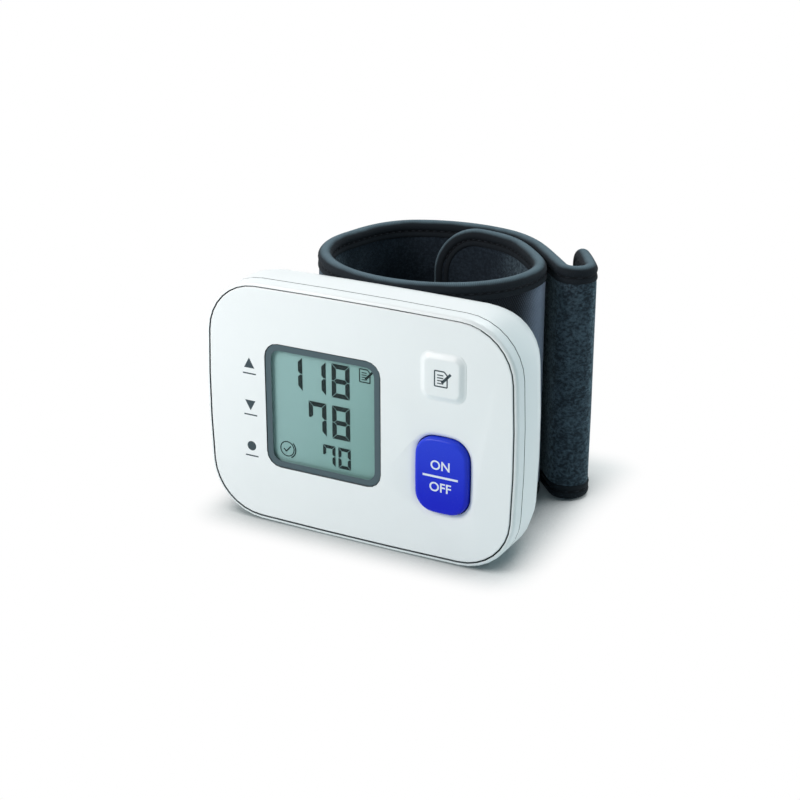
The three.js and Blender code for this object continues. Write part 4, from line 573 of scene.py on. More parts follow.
def ring_mesh(name, rings):
    """A closed skin through rings of points, (rows, columns, 3), capped at both ends, faces outwards."""
    rows, columns = rings.shape[:2]
    faces = ring_faces(rows, columns).tolist()
    faces.append(list(range(columns))[::-1])
    faces.append(list(range((rows - 1) * columns, rows * columns)))
    mesh = bpy.data.meshes.new(name)
    mesh.from_pydata(rings.reshape(-1, 3).tolist(), [], faces)
    skin = bmesh.new()
    skin.from_mesh(mesh)
    bmesh.ops.recalc_face_normals(skin, faces=skin.faces)
    for face in skin.faces:
        face.smooth = len(face.verts) == 4
        for edge in face.edges if len(face.verts) > 4 else ():
            edge.smooth = False
    skin.to_mesh(mesh)
    skin.free()
    mesh.update()
    return mesh


def soft_pad():
    """Rings that shrink from the rim to the middle: an S curve up to the flat top, then back underneath."""
    share = np.concatenate([np.linspace(0, 1, 17), 1 + np.linspace(0.12, 1, 6)])
    slope = np.clip(share, 0, 1)
    rise = slope * slope * (3 - 2 * slope)
    inset = np.where(share <= 1, share * pad_slope, pad_slope + (share - 1) * pad_flat)
    top_depth = -pad_rim - (pad_proud - pad_rim) * rise + pad_hollow * np.clip(share - 1, 0, 1) ** 2
    under_depth = np.minimum(top_depth + pad_wall, -pad_rim / 4)
    rings = []
    for depths, order in ((under_depth, slice(None, None, -1)), (top_depth, slice(None))):
        for inward, depth in zip(inset[order], depths[order]):
            corner = max(pad_corner - inward, 0.4 * mm)
            flat = rounded_square(pad_half[0] - inward, pad_half[1] - inward, corner)
            rings.append(np.column_stack([
                memory_place[0] + flat[:, 0],
                np.full(len(flat), face_depth + depth),
                face_height + memory_place[1] + flat[:, 1],
            ]))
    return ring_mesh("memory_pad", np.array(rings))


memory_pad = put_in_scene("memory_pad", soft_pad(), case_white)
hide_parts("memory_button")
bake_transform(memory_pad)

sheet_width = 3.0 * mm
sheet_height = 3.5 * mm
pen_length = 3.1 * mm
line_width = 0.28 * mm


def sheet_and_pen(x, y, scale):
    """A ruled sheet with one corner cut off, and a slanted pen across it, as line outlines."""
    left, right = x - sheet_width * scale * 0.62, x + sheet_width * scale * 0.38
    low, high = y - sheet_height * scale / 2, y + sheet_height * scale / 2
    thin = line_width * scale
    cut = sheet_width * scale * 0.25
    edge = [(left, low), (right, low), (right, high - cut), (right - cut, high), (left, high), (left, low)]
    lines = [stroke(*a, *b, thin) for a, b in zip(edge[:-1], edge[1:])]
    for share in (0.2, 0.38, 0.56, 0.74):
        height = low + (high - low) * share
        lines.append(stroke(left + 2.2 * thin, height, right - 3.4 * thin, height, thin * 0.8))
    tip = np.array([x - 0.05 * sheet_width * scale, low + 0.25 * sheet_height * scale])
    slant = np.array([np.cos(0.82), np.sin(0.82)]) * pen_length * scale
    lines.append(stroke(*tip, *(tip + slant), thin * 2.1))
    return lines


grey_ink = print_finish("grey_ink", colour(66, 79, 86))
memory_mark = put_in_scene(
    "printed_sheet_and_pen",
    extruded(
        "printed_sheet_and_pen", sheet_and_pen(memory_place[0] + 0.2 * mm, memory_place[1] - 0.15 * mm, 1.1),
        -pad_proud - print_thickness, -pad_proud + pad_hollow,
    ),
    grey_ink,
)
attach(memory_mark, "recall_button")


# Printed marks beside the display
# Plain grey print on the face: a wedge up for the high reading, a wedge down for the low one and a dot for
# the beat, each over a short rule.

mark_place_x = -30.2 * mm
mark_rises = {"high": 10.4 * mm, "low": -0.7 * mm, "beat": -11.9 * mm}
mark_half = 1.5 * mm
mark_rule_drop = 2.7 * mm
mark_rule_half = 1.9 * mm
mark_rule_width = 0.35 * mm


def face_marks():
    up = [(-mark_half, -mark_half * 0.8), (mark_half, -mark_half * 0.8), (0, mark_half)]
    down = [(-mark_half, mark_half * 0.8), (0, -mark_half), (mark_half, mark_half * 0.8)]
    dot = round_outline(0, 0, mark_half * 0.85)
    outlines = []
    for shape, rise in zip((up, down, dot), mark_rises.values()):
        outlines.append([(mark_place_x + x, rise + y) for x, y in shape])
        height = rise - mark_rule_drop
        outlines.append(stroke(
            mark_place_x - mark_rule_half, height, mark_place_x + mark_rule_half, height, mark_rule_width
        ))
    return outlines


marks = put_in_scene(
    "printed_face_marks",
    extruded("printed_face_marks", face_marks(), -print_thickness, print_thickness),
    grey_ink,
)
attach(marks, "housing")


# Display: clear window, dark border and a grey green liquid crystal with a reading
# The lens is clear acrylic with its border printed on it. The numbers are seven bar digits, a thin dark layer
# on the glass, with a ring and tick and a small sheet with a pen.


def lens_finish():
    """Clear acrylic: nearly all light goes through, and a faint gloss stays."""
    finish = new_finish("clear_window")
    haze = finish.noise(finish.place(), 6 * mm)
    return finish.surface(
        Base_Color=(0.4, 0.6, 0.62, 1), Roughness=0.05 + haze * 0.04, Alpha=0.008 + haze * 0.004
    )


def liquid_crystal_finish():
    """Grey green reflective display: darker towards the lower right, with a very fine dot pattern."""
    finish = new_finish("display_green")
    place = finish.place()
    across = finish.node("ShaderNodeSeparateXYZ", {}, [place], output="X")
    height = finish.node("ShaderNodeSeparateXYZ", {}, [place], output="Z")
    slope = finish.ramp(across - (height - face_height) * 0.6, -22 * mm, 12 * mm)
    cloud = finish.noise(place, 0.12 * mm, detail=2.0)
    shade = finish.mixed(slope, colour(141, 177, 176), colour(123, 163, 159))
    tone = finish.mixed(cloud * 0.12, shade, colour(104, 144, 140))
    return finish.surface(Base_Color=tone, Roughness=0.5 + cloud * 0.1)


def border_finish():
    """The dark grey border printed behind the window."""
    finish = new_finish("window_border")
    cloud = finish.noise(finish.place(), 0.2 * mm, detail=3.0)
    tone = finish.mixed(cloud, colour(60, 80, 88), colour(70, 90, 98))
    return finish.surface(
        Base_Color=tone, Roughness=0.45 + cloud * 0.1, Normal=finish.bump(cloud, 0.005 * mm)
    )


def flat_ring(name, outer, inner, front, back):
    """A flat band between two outlines with as many points, from the depth `front` to the depth `back`."""
    rows = [(outer, front), (inner, front), (inner, back), (outer, back)]
    count = len(outer)
    points = np.vstack([
        np.column_stack([flat[:, 0], np.full(count, face_depth + depth), face_height + flat[:, 1]])
        for flat, depth in rows
    ])
    here = np.arange(count)
    following = (here + 1) % count
    faces = [
        quad for row in range(4)
        for quad in zip(row * count + here, row * count + following, (row + 1) % 4 * count + following,
                        (row + 1) % 4 * count + here)
    ]
    mesh = bpy.data.meshes.new(name)
    mesh.from_pydata(points.tolist(), [], [[int(corner) for corner in quad] for quad in faces])
    band = bmesh.new()
    band.from_mesh(mesh)
    bmesh.ops.recalc_face_normals(band, faces=band.faces)
    band.to_mesh(mesh)
    band.free()
    return mesh


smooth_copy("window_lens", "window_pane", lens_finish())
window_border = border_finish()
smooth_copy("window_frame", "window_border", window_border)
window_place = (-9.4 * mm, 0.4 * mm)
window_half = (16.0 * mm, 16.25 * mm)
border_width = 1.5 * mm
lens_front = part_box("window_lens")[0].y - face_depth
border_outer = rounded_square(*window_half, 3.6 * mm) + window_place
border_inner = rounded_square(
    window_half[0] - border_width, window_half[1] - border_width, 2.5 * mm
) + window_place
printed_border = put_in_scene(
    "printed_border",
    flat_ring("printed_border", border_outer, border_inner, lens_front - print_thickness, lens_front),
    window_border,
)
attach(printed_border, "housing")
liquid_crystal = liquid_crystal_finish()
smooth_copy("display_glass", "display_pane", liquid_crystal)

SEGMENTS = {
    "0": "abcdef", "1": "bc", "7": "abcf", "8": "abcdefg",
}
bar_gap = 0.1 * mm
reading_shift = (1.1 * mm, 0.9 * mm)


def digit(number, right, top, width, height, bar):
    """Seven bars with mitred ends: a on top, b and c at the right, d below, e and f at the left, g across."""
    left, low, middle = right - width, top - height, top - height / 2
    half = bar / 2
    bars = {
        "a": [(left + bar_gap, top), (right - bar_gap, top), (right - bar - bar_gap, top - bar),
              (left + bar + bar_gap, top - bar)],
        "d": [(left + bar_gap, low), (left + bar + bar_gap, low + bar), (right - bar - bar_gap, low + bar),
              (right - bar_gap, low)],
        "g": [(left + half + bar_gap, middle), (left + bar + bar_gap, middle + half),
              (right - bar - bar_gap, middle + half), (right - half - bar_gap, middle),
              (right - bar - bar_gap, middle - half), (left + bar + bar_gap, middle - half)],
    }
    for name, edge, inward in (("b", right, -1), ("f", left, 1)):
        bars[name] = [
            (edge, top - bar_gap),
            (edge, middle + bar_gap),
            (edge + inward * half, middle + bar_gap),
            (edge + inward * bar, middle + half + bar_gap),
            (edge + inward * bar, top - bar - bar_gap),
        ]
    for name, edge, inward in (("c", right, -1), ("e", left, 1)):
        bars[name] = [
            (edge, low + bar_gap),
            (edge, middle - bar_gap),
            (edge + inward * half, middle - bar_gap),
            (edge + inward * bar, middle - half - bar_gap),
            (edge + inward * bar, low + bar + bar_gap),
        ]
    return [bars[name] for name in SEGMENTS[number]]


large_digit = (5.0 * mm, 8.8 * mm, 1.22 * mm)
small_digit = (3.5 * mm, 5.6 * mm, 0.86 * mm)
READING = [
    {"text": "118", "right": -3.25 * mm, "top": 13.25 * mm, "pitch": 6.65 * mm, "size": large_digit},
    {"text": "78", "right": -3.25 * mm, "top": 2.3 * mm, "pitch": 6.65 * mm, "size": large_digit},
    {"text": "70", "right": -3.15 * mm, "top": -8.6 * mm, "pitch": 4.35 * mm, "size": small_digit},
]


def arc_band(x, y, radius, width, start, turn, steps=36):
    """A bent line round a centre, as short straight pieces."""
    angles = start + turn * np.linspace(0, 1, steps + 1)
    places = np.column_stack([x + radius * np.cos(angles), y + radius * np.sin(angles)])
    return [stroke(*a, *b, width) for a, b in zip(places[:-1], places[1:])]


def display_marks():
    """The three rows of digits, a ring with a tick at the lower left, a sheet with a pen at the right."""
    outlines = []
    for row in READING:
        for index, number in enumerate(reversed(row["text"])):
            outlines += digit(number, row["right"] - index * row["pitch"], row["top"], *row["size"])
    ring_x, ring_y, ring_radius = -21.4 * mm, -12.0 * mm, 1.95 * mm
    outlines += arc_band(ring_x, ring_y, ring_radius, 0.26 * mm, 0, 2 * np.pi)
    outlines += arc_band(ring_x, ring_y, ring_radius + 0.5 * mm, 0.3 * mm, -1.1, 1.9, steps=16)
    tick = [(-1.0 * mm, 0), (-0.3 * mm, -0.7 * mm), (1.0 * mm, 0.8 * mm)]
    tick = [(ring_x + x, ring_y + y) for x, y in tick]
    outlines += [stroke(*a, *b, 0.32 * mm) for a, b in zip(tick[:-1], tick[1:])]
    outlines += sheet_and_pen(1.3 * mm, 11.6 * mm, scale=0.95)
    return [np.asarray(outline) + reading_shift for outline in outlines]


film_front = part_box("window_lens")[1].y - face_depth + 0.1 * mm
film_thickness = 0.15 * mm
film_outline = rounded_square(window_half[0] - 0.7 * mm, window_half[1] - 0.7 * mm, 2.8 * mm) + window_place
display_film = put_in_scene(
    "display_film",
    extruded("display_film", [film_outline], film_front, film_front + film_thickness),
    liquid_crystal,
)
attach(display_film, "housing")

digit_layer = 0.03 * mm
digit_ink = print_finish("display_black", colour(4, 26, 27))
digits = put_in_scene(
    "display_digits",
    extruded("display_digits", display_marks(), film_front - 2 * digit_layer, film_front - digit_layer),
    digit_ink,
)
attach(digits, "housing")


# Cuff route
# The cuff is one long band. Seen from above it follows an oval from its inner end round the front and the
# left, climbs on to the inner end, and runs out into a curled grip.

oval_x = -0.85 * mm
oval_front = 18.25 * mm
oval_half_width = 28.6 * mm
oval_half_depth = 24.2 * mm
oval_depth = oval_front + oval_half_depth
flat_angle, flat_spread, flat_depth = 38 * degree, 36 * degree, 1.6 * mm
cuff_height = 64 * mm
cuff_thickness = 3.7 * mm
lap_gap = 0.4 * mm
inner_end_angle, flap_angle = 112 * degree, -326 * degree
climb_angles = (-192 * degree, -238 * degree)
inner_hinge_angle, outer_hinge_angle = -8 * degree, -180 * degree
flap_run, hook_radius, hook_turn = 10.9 * mm, 3.7 * mm, 168 * degree
tail_length, tail_turn = 15.5 * mm, 8 * degree
oval_steps = 1200


def smooth_share(share):
    share = np.clip(share, 0, 1)
    return share * share * (3 - 2 * share)


def cuff_route():
    """Distance along, x, y and angle at close steps: the oval plus its offset, then run, hook and tail.

    A point at an angle lies on the oval, moved outwards by the climb on to the inner end and inwards by the
    pressed stretch. After the oval the heading turns by an even amount over each of the three stretches.
    """
    angle = np.linspace(inner_end_angle, flap_angle, oval_steps)
    away = np.abs(np.arctan2(np.sin(angle - flat_angle), np.cos(angle - flat_angle)))
    pressed = flat_depth * smooth_share(1 - away / flat_spread)
    climb = (cuff_thickness + lap_gap) * smooth_share(
        (climb_angles[0] - angle) / (climb_angles[0] - climb_angles[1])
    )
    normal = np.stack([oval_half_depth * np.cos(angle), oval_half_width * np.sin(angle)])
    normal = normal / np.hypot(*normal)
    oval = np.stack([
        oval_x + oval_half_width * np.cos(angle), face_depth + oval_depth + oval_half_depth * np.sin(angle)
    ])
    oval = oval + (climb - pressed) * normal
    samples = 80
    lengths = np.repeat([flap_run, hook_radius * hook_turn, tail_length], samples) / samples
    turns = np.repeat([0, hook_turn, tail_turn], samples) / samples
    heading = np.arctan2(oval[1, -1] - oval[1, -2], oval[0, -1] - oval[0, -2]) + np.cumsum(turns) - turns / 2
    curl = oval[:, -1:] + np.cumsum(lengths * np.stack([np.cos(heading), np.sin(heading)]), axis=1)
    x, y = np.hstack([oval, curl])
    along = np.concatenate([[0], np.cumsum(np.hypot(np.diff(x), np.diff(y)))])
    return along, x, y, np.concatenate([angle, np.full(3 * samples, flap_angle)])


route_along, route_x, route_y, route_angle = cuff_route()
heading_x = np.gradient(route_x, route_along)
heading_y = np.gradient(route_y, route_along)
cuff_length = route_along[-1]


def along_at(angle):
    return float(np.interp(-angle, -route_angle[:oval_steps], route_along[:oval_steps]))


def on_cuff(along, outwards, height):
    """Points on the cuff: a distance along it, a distance outwards from its middle layer, and a height."""
    x = np.interp(along, route_along, route_x)
    y = np.interp(along, route_along, route_y)
    ahead = np.stack([np.interp(along, route_along, heading_x), np.interp(along, route_along, heading_y)])
    ahead = ahead / np.hypot(*ahead)
    return np.stack([x - ahead[1] * outwards, y + ahead[0] * outwards, height + 0 * along], -1)


front_middle = along_at(-90 * degree)
inner_hinge = along_at(inner_hinge_angle)
outer_hinge = along_at(outer_hinge_angle)
half_thickness = cuff_thickness / 2


def bend_with_inner_end(piece):
    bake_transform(piece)


def bend_with_outer_end(piece):
    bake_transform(piece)


# Cuff cloth
# Outside a knitted mesh that the hook patch grips, inside a soft velvety lining. Each is a sheet of real
# thickness that follows the route, with its free end rounded at both corners.


# Where the painted light on the pile starts to grow, towards the grip end.
painted_grip_light_from = cuff_length - tail_length - hook_radius * hook_turn - 5 * mm
cloth_margin = 1.1 * mm
cloth_wave = 0.05 * mm
wave_margin = 6 * mm
tape_cover = 2.4 * mm
tape_release = 1.2 * mm
tape_squeeze = 0.14
knit_pitch = 0.62 * mm
knit_stitch = 1.15 * mm
sheet_step = 0.8 * mm
inner_end_corner = 13 * mm
outer_end_corner = 5 * mm
cover_layer = (0.95 * mm, 1.65 * mm)
lining_layer = (-1.65 * mm, -1.1 * mm)


def end_drop(along, end, corner, direction):
    """How far the edge draws in near a free end: a quarter circle of the corner's radius."""
    beyond = np.clip(corner - direction * (end - along), 0, corner)
    return corner - np.sqrt(np.maximum(corner ** 2 - beyond ** 2, 0))


def cloth_sections(along, low, high, back, face, rows=58):
    """Sections of a sheet: up its outer face, over a round edge, down its inner face, over a round edge.

    The faces swell and sink a little in long waves, and pull in towards the bound edges.
    """
    share = np.linspace(0, 1, rows)
    edge = np.linspace(0, np.pi, 5)[1:-1]
    middle, half = (face + back) / 2, (face - back) / 2
    offset = np.concatenate([np.full(rows, face), middle + half * np.cos(edge), np.full(rows, back),
                             middle - half * np.cos(edge)])
    rise = np.concatenate([share, np.ones(3), share[::-1], np.zeros(3)])
    round_edge = np.concatenate([np.zeros(rows), half * np.sin(edge), np.zeros(rows), -half * np.sin(edge)])
    s = along[:, None] + 0 * rise[None, :]
    height = low[:, None] + (high - low)[:, None] * rise[None, :] + round_edge[None, :]
    wave = cloth_wave * (
        np.sin(s / (7.1 * mm) + 1.3 * np.sin(height / (17 * mm))) * np.sin(height / (9.3 * mm) + 0.7)
        + 0.6 * np.sin(s / (3.3 * mm) + height / (5.9 * mm))
    )
    from_edge = np.minimum(height - low[:, None], high[:, None] - height)
    bound = smooth_share(from_edge / wave_margin)
    under_tape = 1 - smooth_share((from_edge - tape_cover) / tape_release)
    place = offset[None, :] * (1 - tape_squeeze * under_tape) + wave * bound
    points = on_cuff(s.ravel(), place.ravel(), height.ravel())
    return points.reshape(len(along), len(rise), 3), np.stack([s, height, place], -1)


def carry_pattern(mesh, pattern):
    """Stores each point's distance along, height and layer, in metres, for the weave to follow."""
    attribute = mesh.attributes.new("cloth_place", "FLOAT_VECTOR", "POINT")
    attribute.data.foreach_set("vector", pattern.reshape(-1, 3).astype(np.float32).ravel())
    return mesh


def cloth_piece(name, stations, end, corner, direction, back, face, finish):
    drop = end_drop(stations, end, corner, direction) if corner else np.zeros(len(stations))
    sections, pattern = cloth_sections(
        stations, cloth_margin + drop, cuff_height - cloth_margin - drop, back, face
    )
    mesh = carry_pattern(ring_mesh(name, sections), pattern)
    piece = put_in_scene(name, mesh, finish)
    return piece


def cloth_coordinates(finish):
    place = finish.node("ShaderNodeAttribute", {"attribute_name": "cloth_place"}, output="Vector")
    parts = [finish.node("ShaderNodeSeparateXYZ", {}, [place], output=axis) for axis in "XY"]
    return place, *parts


def knit_finish():
    """Knitted mesh: two crossing slants of ribs leave a lattice of dark holes, with a bluish painted sheen
    along the outline.
    """
    finish = new_finish("knitted_mesh")
    place, along, height = cloth_coordinates(finish)
    fuzz = finish.noise(place, 0.35 * mm, detail=4.0, roughness=0.7)
    cloud = finish.noise(place, 9 * mm, detail=3.0)
    rib = 2 * np.pi / knit_pitch
    slant = 2 * np.pi / knit_stitch
    first = (along * rib + height * slant).math("SINE", along * rib + height * slant)
    second = (along * rib - height * slant).math("SINE", along * rib - height * slant)
    lattice = (first + second) * 0.25 + 0.5
    body = finish.ramp(lattice + (fuzz - 0.5) * 0.5, 0.2, 0.75)
    tone = finish.mixed(body, colour(3, 5, 8), colour(26, 33, 42))
    tone = finish.mixed(cloud * 0.3, tone, colour(14, 18, 24))
    # Painted sheen: a pale blue tone along the outline, stronger on the ribs.
    tone = finish.mixed(finish.painted_sheen_share() * (body * 0.4 + 0.5), tone, colour(160, 170, 194))
    return finish.surface(
        Base_Color=tone,
        Roughness=0.85 + (fuzz - 0.5) * 0.2,
        Normal=finish.bump(lattice + fuzz * 0.6, 0.16 * mm),
        Sheen_Weight=0.2,
        Sheen_Roughness=0.3,
        Sheen_Tint=colour(224, 236, 255),
        Specular_IOR_Level=0.15,
    )


def pile_finish(name, deep, tips, painted_light_tone, size):
    """Looped pile: matted tufts paler in patches over a dark ground, with painted light that grows towards the
    grip end and a painted sheen along the outline.
    """
    finish = new_finish(name)
    place, along, height = cloth_coordinates(finish)
    tuft = finish.noise(place, size, detail=5.0, roughness=0.75)
    patch = finish.noise(place, 3.2 * mm, detail=4.0, roughness=0.65)
    cloud = finish.noise(place, 16 * mm, detail=2.0)
    painted_grip_light = finish.ramp(along, painted_grip_light_from, painted_grip_light_from + 7 * mm)
    raised = finish.ramp(tuft * 0.8 + patch * 0.2, 0.42, 0.62)
    # Painted light: the tufts grow paler towards the grip end.
    tone = finish.mixed(raised * (cloud * 0.3 + painted_grip_light * 0.6 + 0.2), deep, tips)
    # Painted sheen along the outline and painted light towards the grip end, both in the pale tone.
    shown = finish.painted_sheen_share() * 0.7 + painted_grip_light * 0.3
    tone = finish.mixed(shown.math("MINIMUM", shown, 1) * (raised * 0.75 + 0.1), tone, painted_light_tone)
    return finish.surface(
        Base_Color=tone, Roughness=0.95, Normal=finish.bump(tuft + patch * 0.5, 0.3 * mm),
        Sheen_Weight=0.25, Sheen_Roughness=0.3, Sheen_Tint=colour(200, 222, 236), Specular_IOR_Level=0.15,
    )


knitted_mesh = knit_finish()
lining_velvet = pile_finish(
    "lining_velvet", colour(28, 36, 45), colour(60, 74, 87), colour(112, 132, 144), 0.7 * mm
)
outer_pile = pile_finish(
    "outer_pile", colour(18, 22, 30), colour(52, 65, 78), colour(128, 150, 167), 0.5 * mm
)


def stations_between(start, stop):
    return np.linspace(start, stop, int(np.ceil((stop - start) / sheet_step)) + 1)


def end_stations(end, corner, direction, far):
    """Even stations, closer together round the corner of a free end."""
    turn = np.linspace(0, np.pi / 2, 13)
    rounded = end - direction * corner * (1 - np.sin(turn))
    rest = stations_between(min(far, rounded[0]), max(far, rounded[0]))
    return np.unique(np.round(np.concatenate([rest, rounded]), 7))


inner_tip = cloth_margin
outer_tip = cuff_length - cloth_margin
inner_corner = inner_end_corner - cloth_margin
outer_corner = outer_end_corner - cloth_margin
inner_stations = end_stations(inner_tip, inner_corner, -1, front_middle)
outer_stations = end_stations(outer_tip, outer_corner, 1, front_middle)

right_cover = cloth_piece(
    "cuff_cover_right", inner_stations, inner_tip, inner_corner, -1, *cover_layer, knitted_mesh
)
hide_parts("cuff_cover", "cuff_inner_end")
bend_with_inner_end(right_cover)
right_lining = cloth_piece(
    "cuff_lining_right", inner_stations, inner_tip, inner_corner, -1, *lining_layer, lining_velvet
)
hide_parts("cuff_lining")
bend_with_inner_end(right_lining)
left_cover = cloth_piece(
    "cuff_cover_left", outer_stations, outer_tip, outer_corner, 1, *cover_layer, outer_pile
)
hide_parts("cuff_outer_end")
bend_with_outer_end(left_cover)
left_lining = cloth_piece(
    "cuff_lining_left", outer_stations, outer_tip, outer_corner, 1, *lining_layer, lining_velvet
)
bend_with_outer_end(left_lining)


# Hook patch
# A stiff strip of tiny hooks, sewn on the inside of the outer end. It holds on the knitted mesh of the inner
# end, which the outer end is laid on.

patch_angles = (-278 * degree, -320 * degree)
patch_margin = 6 * mm
patch_layer = (-1.8 * mm, -1.6 * mm)
hook_pitch = 0.5 * mm
hook_row_pitch = 0.7 * mm


def hook_finish():
    """Rows of short stiff hooks."""
    finish = new_finish("hook_strip")
    place, along, height = cloth_coordinates(finish)
    across = along.math("SINE", along * (2 * np.pi / hook_pitch))
    upwards = height.math("SINE", height * (2 * np.pi / hook_row_pitch))
    rows = across * upwards
    fuzz = finish.noise(place, 0.3 * mm)
    tone = finish.mixed(finish.ramp(rows + fuzz * 0.4, -0.3, 0.9), colour(12, 14, 16), colour(58, 64, 68))
    return finish.surface(Base_Color=tone, Roughness=0.5 + fuzz * 0.2, Normal=finish.bump(rows, 0.15 * mm))


patch_stations = stations_between(along_at(patch_angles[0]), along_at(patch_angles[1]))
patch_low = np.full(len(patch_stations), patch_margin)
patch_sections, patch_pattern = cloth_sections(
    patch_stations, patch_low, cuff_height - patch_low, *patch_layer
)
hook_patch = put_in_scene(
    "hook_strip", carry_pattern(ring_mesh("hook_strip", patch_sections), patch_pattern), hook_finish()
)
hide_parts("cuff_hook_patch")
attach(hook_patch, "strap_end")


# Edge binding
# A woven tape folded over all edges of the cuff and stitched down with a row of dark stitches. Its fold is a
# round bead, the stitches pull it in, and its hem stands out a little below them.

tape_fold = 1.76 * mm
tape_wall = 0.35 * mm
tape_depths = np.array([1.9, 2.25, 2.5, 2.75, 3.1, 3.6, 4.0, 4.2, 4.28]) * mm
tape_offsets = np.array([1.85, 1.78, 1.56, 1.54, 1.74, 1.85, 1.87, 1.8, 1.68]) * mm
tape_pucker = 0.05 * mm
pucker_reach = 0.9 * mm
twill_pitch = 0.45 * mm
twill_rise = 0.9 * mm
stitch_offset = 1.64 * mm
stitch_depth = 2.62 * mm
stitch_pitch = 2.1 * mm
stitch_length = 1.3 * mm
stitch_radius = 0.16 * mm


def tape_section():
    """(outwards, depth below the crest) round a folded tape: down one leg outside, and back inside it."""
    turn = np.linspace(0, np.pi / 2, 9)
    half_offset = np.concatenate([half_thickness * np.sin(turn), tape_offsets])
    half_depth = np.concatenate([tape_fold * (1 - np.cos(turn)), tape_depths])
    outside = np.column_stack([np.concatenate([-half_offset[::-1], half_offset[1:]]),
                               np.concatenate([half_depth[::-1], half_depth[1:]])])
    inside = outside * [1 - tape_wall / half_thickness, 1] + [0, tape_wall]
    inside[:, 1] = np.minimum(inside[:, 1], half_depth[-1])
    return np.vstack([outside, inside[::-1]])


def edge_line(stations, end, corner, direction):
    """The line that the crest follows: along the bottom edge, round the free end, and back along the top.

    For each station it gives the place along, the height and the outward direction in the cuff's own face.
    """
    centre = end - direction * corner
    straight = stations[stations * direction < centre * direction]
    straight = straight if direction > 0 else straight[::-1]
    turn = np.linspace(0, np.pi / 2, 15)
    side = np.linspace(corner, cuff_height - corner, 40)[1:-1]
    level = 0 * side
    along = np.concatenate([straight, centre + direction * corner * np.sin(turn), level + end,
                            centre + direction * corner * np.cos(turn), straight[::-1]])
    height = np.concatenate([0 * straight, corner * (1 - np.cos(turn)), side,
                             cuff_height - corner * (1 - np.sin(turn)), 0 * straight + cuff_height])
    out_along = np.concatenate([0 * straight, direction * np.sin(turn), level + direction,
                                direction * np.cos(turn), 0 * straight])
    out_up = np.concatenate([0 * straight - 1, -np.cos(turn), level, np.sin(turn), 0 * straight + 1])
    return along, height, out_along, out_up


def along_line(line):
    """Distance run along the crest line, which the stitches and the tape's ribs are counted by."""
    along, height = line[:2]
    return np.concatenate([[0], np.cumsum(np.hypot(np.diff(along), np.diff(height)))])


def tape_mesh(name, line):
    along, height, out_along, out_up = (part[:, None] for part in line)
    run = along_line(line)[:, None]
    run = np.minimum(run, run[-1] - run)
    section = tape_section()
    near_stitches = np.exp(-((section[:, 1] - stitch_depth) / pucker_reach) ** 2)
    pucker = tape_pucker * np.sin(run * 2 * np.pi / stitch_pitch) * near_stitches
    offset = section[:, 0] + np.sign(section[:, 0]) * pucker
    depth = section[:, 1] + 0 * run
    points = on_cuff((along - out_along * depth).ravel(), offset.ravel(), (height - out_up * depth).ravel())
    mesh = ring_mesh(name, points.reshape(len(run), len(section), 3))
    return carry_pattern(mesh, np.stack([run + 0 * depth, depth, offset], -1))


def stitch_mesh(name, line):
    """Short arched stitches on both legs of the tape: capsules of rings and sides, all in one array."""
    rings, sides = 7, 6
    corners = rings * sides
    run = along_line(line)
    centres = np.arange(stitch_pitch, run[-1] - stitch_pitch, stitch_pitch)
    ring_share = np.linspace(-1, 1, rings)
    side = np.linspace(0, 2 * np.pi, sides, endpoint=False)
    girth = stitch_radius * np.sqrt(1 - (0.96 * ring_share) ** 2)
    points, faces = [], []
    for leg in (-1, 1):
        at = centres[:, None, None] + stitch_length / 2 * ring_share[None, :, None] + 0 * side
        arch = stitch_offset - stitch_radius * ring_share[None, :, None] ** 2
        out = leg * (arch + girth[None, :, None] * np.cos(side))
        down = stitch_depth + girth[None, :, None] * np.sin(side) + 0 * at
        along, height, out_along, out_up = (np.interp(at, run, part) for part in line)
        placed = on_cuff(
            (along - out_along * down).ravel(), (out + 0 * at).ravel(), (height - out_up * down).ravel()
        )
        points.append(placed.reshape(-1, 3))
    points = np.vstack(points)
    starts = np.arange(0, len(points), corners)
    quads = (ring_faces(rings, sides)[None] + starts[:, None, None]).reshape(-1, 4).tolist()
    caps = [(np.arange(sides)[::-1] + start).tolist() for start in starts]
    caps += [(np.arange(corners - sides, corners) + start).tolist() for start in starts]
    mesh = bpy.data.meshes.new(name)
    mesh.from_pydata(points.tolist(), [], quads + caps)
    thread = bmesh.new()
    thread.from_mesh(mesh)
    bmesh.ops.recalc_face_normals(thread, faces=thread.faces)
    for face in thread.faces:
        face.smooth = True
    thread.to_mesh(mesh)
    thread.free()
    return mesh


